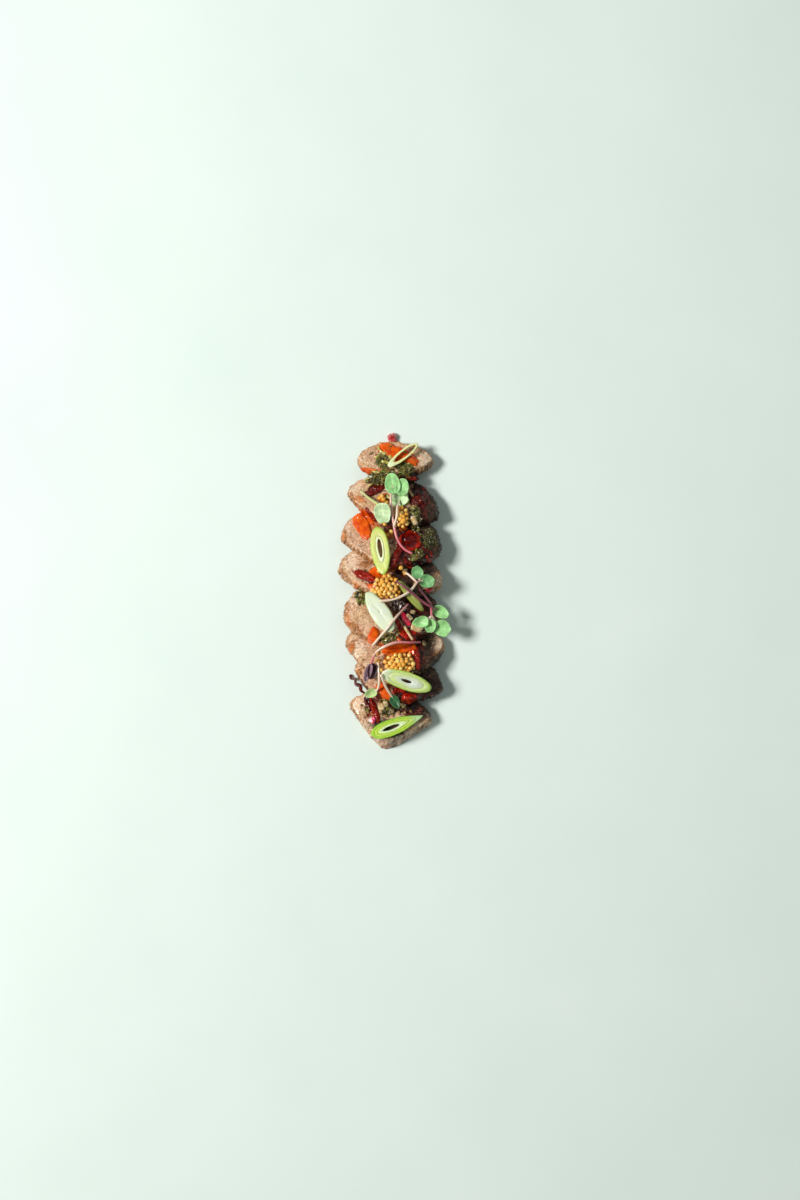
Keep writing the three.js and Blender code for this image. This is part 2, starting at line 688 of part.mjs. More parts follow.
// Numbers between 0 and 1 that are the same each time.
function seeded(seed) {
  let state = seed;
  return () => {
    state = (1664525 * state + 1013904223) % 4294967296;
    return state / 4294967296;
  };
}

const aboveSurface = solidOf(new THREE.BoxGeometry(200, 300, 100).translate(0, 0, 50));

for (let i = SLICES.length; i >= 1; i--) {
  lay(`slice_${i}`, sliceSolid(SLICES[i - 1], i), MEAT_COLOUR, 0.45);
}
SAUCE.forEach((spec, i) => lay(`sauce_${i + 1}`, softSolid(spec, 11, 0.1), SAUCE_COLOUR, 0.2));
PEPPERS.forEach((spec, i) => lay(`pepper_${i + 1}`, softSolid(spec, 10, 0.15), PEPPER_COLOUR, 0.2));
HERBS.forEach((spec, i) => lay(`herbs_${i + 1}`, softSolid(spec, 11, 0.5), HERB_COLOUR, 0.5));
const random = seeded(14);
SEED_HEAPS.forEach((spec, i) => lay(`seeds_${i + 1}`, heapSolid(spec, random), SEED_COLOUR, 0.3));
RADISH.forEach((spec, i) => lay(`radish_${i + 1}`, softSolid(spec, 8, 0), spec.colour, 0.3));
ONIONS.forEach((spec, i) => lay(`onion_${i + 1}`, onionSolid(spec), spec.colour, 0.35));
SPROUTS.forEach((spec) => lay(spec.name, sproutSolid(spec), spec.colour, 0.45));

steak.position.set(-ROW_MIDDLE[0], -ROW_MIDDLE[1], 0);

export default steak;
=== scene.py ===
import math
import random

import bmesh
import bpy
from mathutils import Matrix, Vector, geometry, noise
from mathutils.bvhtree import BVHTree


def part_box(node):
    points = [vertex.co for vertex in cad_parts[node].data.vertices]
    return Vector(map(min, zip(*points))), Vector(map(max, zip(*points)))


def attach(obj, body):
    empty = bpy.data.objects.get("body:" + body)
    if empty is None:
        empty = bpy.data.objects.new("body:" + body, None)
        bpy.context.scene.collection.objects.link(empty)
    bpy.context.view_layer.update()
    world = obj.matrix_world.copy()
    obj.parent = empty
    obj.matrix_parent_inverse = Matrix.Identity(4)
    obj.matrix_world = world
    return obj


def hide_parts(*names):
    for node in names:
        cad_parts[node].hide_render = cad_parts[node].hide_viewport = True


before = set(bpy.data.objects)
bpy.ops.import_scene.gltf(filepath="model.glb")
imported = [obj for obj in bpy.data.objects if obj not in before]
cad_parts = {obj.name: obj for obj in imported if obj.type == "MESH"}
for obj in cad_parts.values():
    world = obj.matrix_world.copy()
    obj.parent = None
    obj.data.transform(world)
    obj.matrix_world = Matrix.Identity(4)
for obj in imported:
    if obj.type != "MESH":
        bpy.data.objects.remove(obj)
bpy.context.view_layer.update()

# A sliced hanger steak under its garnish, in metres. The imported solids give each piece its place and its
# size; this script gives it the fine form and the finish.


# The table, the light and the camera. The steak is seen from straight above, in soft daylight from the left
# and a little from the far side, on a plain pale surface with a touch of green. Far out the table glows, so
# that it stays as pale as the walls in low views.
MM = 0.001
PIXEL = 0.56 * MM
PICTURE_WIDTH, PICTURE_HEIGHT = 800, 1200
ROW_COLUMN, ROW_ROW = 395, 591
ROW_X, ROW_Y = 0.6 * MM, -1 * MM
FACE_HEIGHT = 15 * MM
TABLE_REACH = 3
GLOW_START, GLOW_FULL = 0.6, 2.4
ROOM_LIGHT, ROOM_BRIGHTNESS = 0.22, 0.9
DAYLIGHT_TINT = (226, 237, 232)
scene = bpy.context.scene


def picture_point(column, row):
    """The place under a point of the picture, on the level of the upper faces."""
    return (column - ROW_COLUMN) * PIXEL + ROW_X, (ROW_ROW - row) * PIXEL + ROW_Y


def shade(red, green, blue):
    """A colour given as it looks on a screen, 0 to 255, as the linear one that shaders use."""
    return tuple(
        c / 12.92 if c <= 0.04045 else ((c + 0.055) / 1.055) ** 2.4
        for c in (red / 255, green / 255, blue / 255)
    ) + (1.0,)


class Reading:
    """An output of a shader node. Arithmetic with it adds Math nodes."""

    def __init__(self, finish, socket):
        self.finish = finish
        self.socket = socket

    def math(self, operation, first, second):
        values = {"Value": first, "Value_001": second}
        return self.finish.node("ShaderNodeMath", {"operation": operation}, values, "Value")

    def __add__(self, other):
        return self.math("ADD", self, other)

    def __sub__(self, other):
        return self.math("SUBTRACT", self, other)

    def __rsub__(self, other):
        return self.math("SUBTRACT", other, self)

    def __mul__(self, other):
        return self.math("MULTIPLY", self, other)

    def __truediv__(self, other):
        return self.math("DIVIDE", self, other)

    def __pow__(self, other):
        return self.math("POWER", self, other)

    __radd__ = __add__
    __rmul__ = __mul__

    def rise(self, low, high):
        """0 below low, 1 above high and a soft step between them."""
        values = {"Value": self, "From Min": low, "From Max": high}
        return self.finish.node("ShaderNodeMapRange", {"interpolation_type": "SMOOTHSTEP"}, values, "Result")


class Finish:
    """A material, made from its shader's sockets and the nodes behind them. Colours are readings, or three
    numbers as on a screen."""

    def __init__(self, name):
        self.material = bpy.data.materials.new(name)
        self.material.use_nodes = True
        self.tree = self.material.node_tree
        self.shader = self.tree.nodes["Principled BSDF"]
        self.place = self.node("ShaderNodeTexCoord", {}, {}, "Object")

    def fill(self, node, values):
        sockets = {socket.identifier: socket for socket in node.inputs}
        for key, value in values.items():
            if isinstance(value, Reading):
                self.tree.links.new(value.socket, sockets[key])
            else:
                sockets[key].default_value = value

    def node(self, kind, settings, values, output):
        """Adds a node: its settings first, then its inputs. Gives the named output."""
        node = self.tree.nodes.new(kind)
        for key, value in settings.items():
            setattr(node, key, value)
        self.fill(node, values)
        return Reading(self, next(s for s in node.outputs if s.identifier == output))

    def surface(self, colour, roughness, specular=0.5, coat=0.0, coat_roughness=0.03, flesh=None):
        """Sets the shader. Flesh is how much light sinks in, its tint, and how deep in millimetres."""
        values = {"Base Color": colour, "Roughness": roughness, "Specular IOR Level": specular}
        values |= {"Coat Weight": coat, "Coat Roughness": coat_roughness}
        if flesh:
            weight, tint, depth = flesh
            values |= {"Subsurface Weight": weight, "Subsurface Radius": tint, "Subsurface Scale": depth * MM}
        self.fill(self.shader, values)

    def mix(self, share, one, other):
        one, other = (tone if isinstance(tone, Reading) else shade(*tone) for tone in (one, other))
        values = {"Factor_Float": share, "A_Color": one, "B_Color": other}
        return self.node("ShaderNodeMix", {"data_type": "RGBA"}, values, "Result_Color")

    def coats(self, colour, *coats):
        """Coats of colour over the first one, each with its share."""
        for share, tone in coats:
            colour = self.mix(share, colour, tone)
        return colour

    def grain(self, size, turn=(0, 0, 0)):
        """Coordinates in which a pattern's cells have this size in millimetres, turned by degrees."""
        values = {
            "Vector": self.place,
            "Rotation": [math.radians(angle) for angle in turn],
            "Scale": [side * MM for side in size],
        }
        return self.node("ShaderNodeMapping", {"vector_type": "TEXTURE"}, values, "Vector")

    def clouds(self, size, turn=(0, 0, 0), detail=3.0, roughness=0.55):
        """Soft noise from about 0.3 to 0.7 with features of this size in millimetres."""
        size = size if isinstance(size, tuple) else (size,) * 3
        values = {"Vector": self.grain(size, turn), "Scale": 1.0, "Detail": detail, "Roughness": roughness}
        return self.node("ShaderNodeTexNoise", {}, values, "Fac")

    def field(self, name):
        """A value that the mesh holds for each point."""
        return self.node("ShaderNodeAttribute", {"attribute_name": name}, {}, "Fac")

    def across(self):
        """How far to the right a point is, in millimetres."""
        return self.node("ShaderNodeSeparateXYZ", {}, {"Vector": self.place}, "X") / MM

    def relief(self, height, depth):
        """A surface relief this many millimetres deep."""
        values = {"Strength": 1.0, "Distance": depth * MM, "Height": height}
        self.fill(self.shader, {"Normal": self.node("ShaderNodeBump", {}, values, "Normal")})


table_form = bmesh.new()
bmesh.ops.create_grid(table_form, x_segments=1, y_segments=1, size=TABLE_REACH)
table_mesh = bpy.data.meshes.new("table")
table_form.to_mesh(table_mesh)
table_form.free()
table = bpy.data.objects.new("table", table_mesh)
scene.collection.objects.link(table)
top = Finish("pale_table")
outward = top.node("ShaderNodeVectorMath", {"operation": "LENGTH"}, {"Vector": top.place}, "Value")
top.surface(top.mix(top.clouds(90), (214, 229, 222), DAYLIGHT_TINT), 0.7)
glow = top.mix(outward.rise(GLOW_START, GLOW_FULL), (0, 0, 0), (206, 218, 213))
top.fill(top.shader, {"Emission Color": glow, "Emission Strength": 1.0})
table_mesh.materials.append(top.material)

scene.view_settings.view_transform = "Standard"
scene.world = bpy.data.worlds.new("daylight")
scene.world.use_nodes = True
daylight = scene.world.node_tree
sky = daylight.nodes["Background"].inputs
sky["Color"].default_value = shade(*DAYLIGHT_TINT)
# The walls of the room look pale, but give only a dim light.
seen = daylight.nodes.new("ShaderNodeMapRange")
seen.inputs["To Min"].default_value = ROOM_LIGHT
seen.inputs["To Max"].default_value = ROOM_BRIGHTNESS
daylight.links.new(daylight.nodes.new("ShaderNodeLightPath").outputs["Is Camera Ray"], seen.inputs["Value"])
daylight.links.new(seen.outputs["Result"], sky["Strength"])


def soft_light(name, place, size, power, colour):
    lamp = bpy.data.lights.new(name, "AREA")
    lamp.size = size
    lamp.energy = power
    lamp.color = colour
    light = bpy.data.objects.new(name, lamp)
    light.location = place
    light.rotation_euler = (-Vector(place)).to_track_quat("-Z", "Y").to_euler()
    scene.collection.objects.link(light)


soft_light("window", (-1.24, 0.2, 1.5), 0.44, 43.0, (1.0, 0.985, 0.96))
soft_light("far_wall", (0.9, 1.1, 1.6), 1.6, 4.0, (0.94, 0.98, 1.0))

lens = bpy.data.cameras.new("camera")
lens.lens = 50
camera = bpy.data.objects.new("camera", lens)
picture_distance = PICTURE_HEIGHT * PIXEL * lens.lens / lens.sensor_width
camera.location = (*picture_point(PICTURE_WIDTH / 2, PICTURE_HEIGHT / 2), FACE_HEIGHT + picture_distance)
scene.collection.objects.link(camera)
scene.camera = camera


# The carved slices: eight cuts across the grain of one roast piece of beef, pale pink-beige on the cut face,
# with bundles of fibre that run down through each slice, and a seared brown crust round the outside.
# They lean on each other in a row, wet with juices, stained with orange sauce and dark glaze. The dark juices
# # also carry painted shade, and pale patches on the faces are painted highlights.
SLICE_COUNT = 8
SLICE_VOXEL = 0.42 * MM
SLICE_LEAN = math.radians(25)
ROUND_STEPS = 90
FIBRE_TURN = (-24, 14, 0)
# Marks on the upper faces: stains, crust, dark juices with painted shade and pale painted highlights. The
# column,
# # row, length, width and turn of each, in the picture.
SLICE_SPOTS = {
    "sauce": [
        (367, 471, 17, 7, -12), (384, 469, 26, 5, -4), (395, 451, 52, 24, 20), (360, 499, 14, 9, 30),
        (356, 507, 8, 8, 0), (371, 522, 40, 22, 62), (378, 520, 26, 5, 40), (342, 535, 6, 12, 10),
        (384, 572, 26, 14, 10), (374, 589, 34, 8, 28), (356, 585, 20, 8, 38), (375, 637, 16, 26, 60),
        (386, 650, 14, 10, 0), (402, 646, 34, 14, -10), (383, 694, 30, 22, 40), (372, 714, 16, 10, 30),
        (372, 733, 14, 6, 50), (348, 618, 5, 24, 0), (350, 650, 7, 22, 24), (410, 699, 22, 10, 0),
    ],
    "glaze": [
        (417, 475, 22, 10, 14), (420, 494, 30, 26, 0), (420, 515, 22, 30, 10), (375, 490, 26, 12, -20),
        (404, 540, 36, 30, 0), (424, 545, 22, 36, 10), (405, 568, 46, 22, 10), (366, 576, 30, 16, 28),
        (424, 580, 22, 16, 20), (408, 610, 40, 34, 10), (420, 607, 24, 28, 0), (412, 632, 36, 16, 30),
        (417, 655, 18, 40, 0), (404, 666, 44, 16, 0), (420, 690, 30, 30, 20), (400, 690, 40, 16, 10),
        (372, 706, 12, 34, 30), (412, 710, 40, 18, 16), (362, 684, 10, 12, 40), (388, 526, 22, 14, 40),
    ],
    # Dark juices, partly painted shade: the right ends that lie in shadow, and the hole of a spring onion
    # slice.
    "juice": [
        (428, 504, 36, 62, 4), (432, 540, 30, 48, 6), (414, 478, 30, 14, 10), (424, 564, 30, 22, 10),
        (426, 610, 30, 34, 0), (421, 652, 28, 48, 0), (436, 662, 24, 18, -20), (430, 688, 38, 48, 10),
        (412, 706, 64, 18, 10), (387, 728, 34, 15, 20), (407, 582, 30, 30, 30),
    ],
    "crust": [
        (345, 612, 7, 26, 4), (355, 628, 24, 10, 40), (350, 650, 9, 28, 26), (346, 576, 20, 6, 45),
        (344, 534, 7, 20, 0), (352, 498, 8, 16, -20), (357, 676, 8, 22, 24), (386, 747, 24, 6, 0),
        (432, 656, 22, 8, -40), (400, 696, 60, 6, 0), (366, 563, 20, 8, -10),
    ],
    # Pale patches: painted highlights, where the wet cut faces catch the glare.
    "pale": [
        (351, 562, 18, 20, 30), (350, 488, 12, 24, 20), (354, 708, 20, 14, 20), (427, 461, 18, 26, 0),
        (356, 457, 16, 22, 0), (345, 528, 10, 16, 20), (358, 648, 14, 18, 0), (438, 646, 12, 22, 10),
        (352, 600, 12, 14, 0), (372, 736, 22, 8, 40),
    ],
}
ABOVE_ALL = 100 * MM
laid = []


def ground(x, y):
    """The height of what is laid so far."""
    above = Vector((x, y, ABOVE_ALL))
    level = 0.0
    for tree, low, high in laid:
        if low.x < x < high.x and low.y < y < high.y:
            hit = tree.ray_cast(above, Vector((0, 0, -1)))[0]
            if hit is not None:
                level = max(level, hit.z)
    return level


def refined(node, voxel, passes):
    """A fine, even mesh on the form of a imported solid, whose own loose triangles are merged in a copy."""
    form = bmesh.new()
    form.from_mesh(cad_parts[node].data)
    bmesh.ops.remove_doubles(form, verts=form.verts, dist=1e-6)
    rough = bpy.data.meshes.new(node + "_form")
    form.to_mesh(rough)
    form.free()
    holder = bpy.data.objects.new(node + "_form", rough)
    scene.collection.objects.link(holder)
    remesh = holder.modifiers.new("even", "REMESH")
    remesh.mode = "VOXEL"
    remesh.voxel_size = voxel
    fine = bpy.data.meshes.new_from_object(holder.evaluated_get(bpy.context.evaluated_depsgraph_get()))
    bpy.data.objects.remove(holder)
    form = bmesh.new()
    form.from_mesh(fine)
    bpy.data.meshes.remove(fine)
    every_way = {"use_axis_x": True, "use_axis_y": True, "use_axis_z": True}
    for _ in range(passes):
        bmesh.ops.smooth_vert(form, verts=form.verts, factor=0.5, **every_way)
    form.normal_update()
    return form


def finished(form, name, finish, slot, *nodes, smooth=True):
    """Makes the piece, on which the next ones are laid. End caps with many corners stay flat."""
    for face in form.faces:
        face.smooth = smooth and len(face.verts) <= 4
    form.normal_update()
    corners = [Vector(pick(vert.co[axis] for vert in form.verts) for axis in range(3)) for pick in (min, max)]
    laid.append((BVHTree.FromBMesh(form), *corners))
    mesh = bpy.data.meshes.new(name)
    form.to_mesh(mesh)
    form.free()
    mesh.materials.append(finish.material)
    piece = bpy.data.objects.new(name, mesh)
    scene.collection.objects.link(piece)
    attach(piece, "root")
    if nodes:
        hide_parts(*nodes)


def inside(x, y, column, row, length, width, turn):
    """1 in the middle of an ellipse of the picture, 0 on its edge and less outside."""
    centre = picture_point(column, row)
    angle = math.radians(-turn)
    dx, dy = (x - centre[0]) / PIXEL, (y - centre[1]) / PIXEL
    across = dx * math.cos(angle) + dy * math.sin(angle)
    up = dy * math.cos(angle) - dx * math.sin(angle)
    return 1 - math.hypot(2 * across / length, 2 * up / width)


meat = Finish("carved_meat")
cells = {"Vector": meat.grain((1.7, 1.7, 9), FIBRE_TURN), "Scale": 1.0, "Randomness": 1.0}
bundle_edge = meat.node("ShaderNodeTexVoronoi", {"feature": "DISTANCE_TO_EDGE"}, cells, "Distance")
bundle_colour = meat.node("ShaderNodeTexVoronoi", {}, cells, "Color")
bundle_tone = meat.node("ShaderNodeSeparateColor", {}, {"Color": bundle_colour}, "Red")
bundle_middle = bundle_edge.rise(0.0, 0.3)
threads = meat.clouds((0.5, 0.5, 4), FIBRE_TURN)
fibres = meat.clouds((0.55, 2.6, 0.6), (25, 0, -24))
grains = meat.clouds((1.6, 1.6, 4), FIBRE_TURN, roughness=0.5)
patches = meat.clouds(6, detail=2)
blush = meat.clouds((11, 8, 11), detail=1).rise(0.38, 0.62)
flecks = meat.clouds(0.75, roughness=0.6)
pits = meat.clouds(1.3, detail=5, roughness=0.72)
seams = 1 - ((meat.clouds((9, 5, 9), (0, 0, 30), detail=2) - 0.5) ** 2).rise(0.0, 0.0006)
crust_tone = meat.clouds(3.4, roughness=0.6)
strands = meat.clouds((0.8, 0.8, 9), FIBRE_TURN, detail=2)
ragged = meat.clouds(1.8) - 0.5
wander = meat.clouds(5, detail=2) - 0.5
blots = meat.clouds(2.2, detail=5, roughness=0.68) - 0.5
depth, ridge, wall = meat.field("sear"), meat.field("ridge"), meat.field("wall")
# Pale cream patches: painted highlights, the glare on wet meat.
pale = (meat.field("pale") + (grains - 0.5) * 2 + (pits - 0.5) * 3).rise(0.0, 0.6)
sear = (depth + ragged * 0.9 + wander * 1.3).rise(0.25, 0.85)
charred = (meat.field("crust") + ragged * 1.6 + wander).rise(-0.05, 0.4)
# Dark juices on the meat; on the right ends and under the onion hole this is painted shade as well.
soaked = (meat.field("juice") + blots * 1.7 + wander * 0.6 + 0.35).rise(-0.1, 0.6)
sauced = (meat.field("sauce") + blots * 2.6).rise(0.1, 0.75)
glazed = (meat.field("glaze") + blots * 2.2 + ragged * 0.6).rise(0.0, 0.55)
cut_face = meat.coats(
    meat.mix(blush, (220, 176, 146), (214, 182, 136)),
    ((depth + (patches - 0.5) * 1.6).rise(-0.6, 0.3) * 0.6, (200, 146, 96)),
    (bundle_tone * 0.14, (196, 142, 108)),
    ((1 - bundle_middle) * 0.16, (176, 116, 82)),
    ((0.5 - fibres).rise(0.0, 0.13) * 0.34, (176, 118, 84)),
    (fibres.rise(0.5, 0.66) * 0.45, (238, 204, 178)),
    (grains.rise(0.52, 0.66) * 0.4, (236, 198, 172)),
    (flecks.rise(0.52, 0.63) * 0.45, (250, 226, 198)),
    ((0.5 - flecks).rise(0.01, 0.11) * 0.42, (150, 98, 60)),
    (patches.rise(0.5, 0.62) * 0.4, (240, 210, 178)),
    ((0.5 - patches).rise(0.0, 0.12) * 0.24, (180, 126, 84)),
    # dark specks in the small pits of the cut face: painted shade
    ((0.5 - pits).rise(0.07, 0.16) * 0.6, (112, 66, 38)),
    # painted highlights on the pale patches
    (pale * 0.5, (248, 228, 202)),
    (seams * 0.25, (168, 108, 76)),
    # on the walls, painted shade in the grooves between the fibre ridges and a painted highlight on their
    # tops
    (wall * (0 - ridge).rise(-0.1, 0.6) * 0.75, (128, 86, 58)),
    (wall * ridge.rise(0.1, 0.7) * 0.6, (240, 210, 180)),
)
crust = meat.coats(
    meat.mix(crust_tone.rise(0.36, 0.64), (130, 80, 42), (198, 138, 82)),
    (strands.rise(0.48, 0.66) * 0.5, (224, 170, 112)),
    ((0.5 - strands).rise(0.03, 0.16) * 0.4, (112, 58, 26)),
)
streaked = meat.mix((strands * 0.6 + flecks * 0.4).rise(0.43, 0.57), (100, 56, 26), (196, 124, 60))
meat_colour = meat.coats(
    cut_face,
    (sear * 0.85, crust),
    (charred * 0.85, streaked),
    (soaked * 0.95, meat.mix(blots.rise(0.0, 0.14), (5, 2, 2), (92, 56, 38))),
    (sauced * 0.8, meat.mix(patches.rise(0.4, 0.6), (196, 84, 18), (214, 128, 62))),
    (glazed * 0.88, meat.mix(crust_tone.rise(0.35, 0.65), (34, 8, 6), (104, 30, 18))),
)
wet = (patches + (grains - 0.5) * 0.7).rise(0.44, 0.56)
sheen = 0.06 + wet * 0.34 * (1 - soaked) + blots.rise(0.06, 0.14) * 0.5
meat_roughness = 0.42 - glazed * 0.2 - sauced * 0.1 - wet * 0.1
meat.surface(meat_colour, meat_roughness, 0.2, sheen, 0.1, (0.15, (1.0, 0.35, 0.2), 1.2))
face_relief = bundle_middle * 0.2 + fibres * 0.5 + threads * 0.3 + grains * 0.6 + flecks * 0.35
face_relief -= seams * 0.15 + (0.5 - pits).rise(0.04, 0.16) * 0.35
meat.relief(face_relief + strands * sear * 0.5, 0.42)

fibre_frame = Matrix.Rotation(math.radians(FIBRE_TURN[1]), 3, "Y")
fibre_frame = fibre_frame @ Matrix.Rotation(math.radians(FIBRE_TURN[0]), 3, "X")
to_fibres = fibre_frame.inverted()


def fibre_relief(place, wall, seed):
    """How far the meat stands out at a place, in millimetres, and its ridge there, from -1 to 1. The bundles
    show as small cells on a cut face and as long ridges down a wall."""
    bundle = to_fibres @ place / MM
    near, second = noise.voronoi(Vector((bundle.x / 2.3, bundle.y / 2.3, bundle.z / 9 + seed)))[0][:2]
    strand = noise.noise(Vector((bundle.x / 1.1, bundle.y / 1.1, bundle.z / 11 + 3 * seed)))
    swell = noise.noise(place / (7 * MM) + Vector((seed, 0, 0)))
    lobe = noise.noise(place / (3 * MM) + Vector((0, seed, 0)))
    crag = noise.noise(place / (1.5 * MM) + Vector((0, 0, seed)))
    cells = 0.25 * min(second - near, 0.6) * (1 - wall) + (0.08 + 0.45 * wall) * strand
    return cells + 0.6 * swell + 0.38 * lobe + (0.1 + 0.22 * wall) * crag - 0.25, strand * 1.8


def steps_round(dx, dy):
    """The way to a point round a slice, in steps."""
    return (math.atan2(dy, dx) / math.tau) % 1 * ROUND_STEPS


# The knife has bared the fibre on these walls: how much of the crust is left there. The last slice leans out.
BARE_WALLS = {4: 0.6, 6: 0.8, 8: 0.12}
END_LEAN = 2.2 * MM
RIM, RIM_TOWARDS_LIGHT = 1.0 * MM, 2.6 * MM
CORE_DEPTH = 9 * MM
face_normal = Vector((0, math.sin(SLICE_LEAN), math.cos(SLICE_LEAN)))
for number in range(1, SLICE_COUNT + 1):
    form = refined(f"slice_{number}", SLICE_VOXEL, 4)
    sides = [vert.co.copy() for vert in form.verts if abs(vert.normal.dot(face_normal)) < 0.5]
    middle = sum(sides, Vector()) / len(sides)
    reach = [0.0] * ROUND_STEPS
    for side in sides:
        dx, dy = side.x - middle.x, side.y - middle.y
        step = int(steps_round(dx, dy))
        reach[step] = max(reach[step], math.hypot(dx, dy))
    fields = {name: form.verts.layers.float.new(name) for name in ("sear", "ridge", "wall", *SLICE_SPOTS)}
    moves = []
    for vert in form.verts:
        dx, dy = vert.co.x - middle.x, vert.co.y - middle.y
        radius = math.hypot(dx, dy)
        turn = steps_round(dx, dy)
        here, ahead = reach[int(turn)], reach[(int(turn) + 1) % ROUND_STEPS]
        edge = here + (turn % 1) * (ahead - here) - radius
        towards = max(0.0, (-0.8 * dx - 0.6 * dy) / max(radius, MM))
        facing = vert.normal.dot(face_normal)
        rim = max(0.0, 1 - edge / (RIM + RIM_TOWARDS_LIGHT * towards)) if facing > 0 else 1.0
        crust_left = BARE_WALLS.get(number, 1.0) if dy < 0 else 1.0
        on_side = min(1.0, 1.5 * (0.85 - facing))
        vert[fields["sear"]] = max(rim or -edge / CORE_DEPTH, on_side) - 1.2 * (1 - crust_left)
        for name, spots in SLICE_SPOTS.items():
            vert[fields[name]] = max(-1.0, max(inside(vert.co.x, vert.co.y, *spot) for spot in spots))
        steep = min(1.0, max(0.0, 1.3 * (0.9 - abs(facing))))
        relief, vert[fields["ridge"]] = fibre_relief(vert.co, steep, number)
        vert[fields["wall"]] = steep
        move = vert.normal * relief * (1 + 0.4 * steep) * MM
        if number == SLICE_COUNT:
            move.y -= END_LEAN * max(0.0, -dy) / radius * max(0.0, 1 - vert.co.z / FACE_HEIGHT)
        moves.append((vert, move))
    for vert, move in moves:
        vert.co += move
        vert.co.z = max(vert.co.z, 0.0)
    finished(form, f"carved_slice_{number}", meat, "meat", f"slice_{number}")


# The sauces: six spoonfuls of orange pepper sauce, smooth and thick enough to hold a rounded edge, and the
# dark red glaze that coats the meat between the toppings. They are draped over the slices and cling to them.
LONGEST_DROP = 4 * MM
TORN_DROP = 2 * MM
THINNEST = 0.06 * MM
BEDDING = 0.3 * MM
DRAPE_PASSES = 14
# Each node with its size in millimetres, its turn in degrees and its height.
SAUCES = [
    ("sauce_1", (23, 8.4), -27, 1.4), ("sauce_2", (17, 8.6), -66, 2.0), ("sauce_3", (7, 6.4), 0, 1.5),
    ("sauce_4", (10.5, 6.6), 74, 2.0), ("sauce_5", (19, 6.8), 15, 1.3), ("sauce_6", (12.5, 7), -53, 1.6),
]
# The column, row, length, width and turn of each in the picture, and its height in millimetres.
SAUCE_SMEARS = [
    (384, 447, 13, 10, -10, 0.8), (368, 470, 15, 6, 8, 0.7), (411, 459, 15, 9, 20, 1.0),
    (368, 517, 20, 7, 50, 0.7), (378, 589, 24, 6, 24, 0.7), (388, 592, 24, 11, 20, 0.9),
    (395, 640, 18, 10, 30, 0.9), (385, 645, 12, 9, 0, 0.7), (388, 704, 17, 8, 20, 0.8),
    (410, 648, 14, 11, 40, 0.9),
]
GLAZES = [
    (420, 494, 20, 22, 0, 1.0), (411, 477, 16, 8, 15, 0.9), (404, 553, 24, 16, -30, 1.0),
    (408, 532, 26, 18, 0, 0.6), (413, 563, 20, 18, 20, 0.9), (400, 603, 28, 16, 20, 1.1),
    (414, 621, 22, 16, 30, 0.8), (408, 640, 26, 16, 20, 0.9), (417, 655, 9, 30, -6, 0.7),
    (401, 663, 36, 20, 0, 0.7), (408, 693, 30, 14, 5, 0.9), (402, 708, 30, 9, 4, 0.5),
    (377, 485, 22, 8, -28, 0.6), (374, 580, 22, 10, 25, 0.5), (369, 703, 7, 22, -20, 0.7),
    (390, 521, 14, 12, 0, 0.5), (424, 560, 12, 8, 20, 0.6),
]
# This glaze spans the step from one slice down to the next. Its dark sheet over the gap is partly painted
# # shade, standing in for the shadow there.
BRIDGING_GLAZE = 2


def on_disc(x, y):
    """Where a point of a square comes on a disc, and how far out that is, from 0 to 1."""
    disc = Vector((x * math.sqrt(1 - y * y / 2), y * math.sqrt(1 - x * x / 2)))
    return disc, min(1.0, disc.length)


def draped(place, size, turn, high, wave=0.14, lump=0.3, lump_size=2.2, step=0.36, seed=0.0, bridge=False):
    """A closed soft body laid over what is there: an oval in millimetres with a wavy edge and a domed top.
    It sags into dips and is torn off where the drop is long, unless it bridges it."""
    form = bmesh.new()
    columns, rows = (max(8, round(side / step)) for side in size)
    bmesh.ops.create_grid(form, x_segments=columns, y_segments=rows, size=1)
    turned = Matrix.Rotation(math.radians(turn), 2)
    bed, dome = (form.verts.layers.float.new(name) for name in ("bed", "dome"))
    for vert in form.verts:
        disc, share = on_disc(*vert.co.xy)
        way = disc / max(share, 0.01)
        ripple = noise.noise(Vector((way.x * 1.3, way.y * 1.3, seed)))
        ripple += 0.6 * noise.noise(Vector((way.x * 3.5, way.y * 3.5, seed + 7)))
        disc *= 1 + wave * share * ripple
        flat = turned @ Vector((disc.x * size[0], disc.y * size[1])) * 0.5 * MM
        vert.co.x, vert.co.y = place[0] + flat.x, place[1] + flat.y
        vert[bed] = ground(vert.co.x, vert.co.y)
        spot = Vector((vert.co.x, vert.co.y, seed * MM))
        bumps = noise.noise(spot / (lump_size * MM)) + 0.5 * noise.noise(spot / (0.45 * lump_size * MM))
        vert[dome] = (1 - share**3) ** 0.5 * max(0.25 * high, high + lump * bumps) * MM
    levels = sorted(vert[bed] for vert in form.verts)
    lowest = levels[-1 if bridge else len(levels) * 3 // 4] - LONGEST_DROP
    if not bridge:
        torn = [face for face in form.faces if all(vert[bed] < lowest - TORN_DROP for vert in face.verts)]
        bmesh.ops.delete(form, geom=torn, context="FACES")
    for vert in form.verts:
        vert[bed] = max(vert[bed], lowest)
        vert.co.z = vert[bed]
    for _ in range(DRAPE_PASSES):
        bmesh.ops.smooth_vert(form, verts=form.verts, factor=0.5, use_axis_z=True)
        for vert in form.verts:
            vert.co.z = max(vert.co.z, vert[bed])
    under = form.verts[:]
    sheet = form.verts[:] + form.edges[:] + form.faces[:]
    upper = bmesh.ops.extrude_face_region(form, geom=sheet, use_keep_orig=True)["geom"]
    for vert in [part for part in upper if isinstance(part, bmesh.types.BMVert)]:
        vert.co.z += vert[dome] + THINNEST
    for vert in under:
        vert.co.z = max(0.0, vert.co.z - BEDDING)
    bmesh.ops.recalc_face_normals(form, faces=form.faces)
    return form


def draped_spot(column, row, length, width, turn, high, **shape):
    """A draped body at a point of the picture, its length and width in pixels of it."""
    size = (length * PIXEL / MM, width * PIXEL / MM)
    return draped(picture_point(column, row), size, -turn, high, **shape)


def middle_of(node):
    """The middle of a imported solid, seen from above."""
    low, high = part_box(node)
    return (low.x + high.x) / 2, (low.y + high.y) / 2


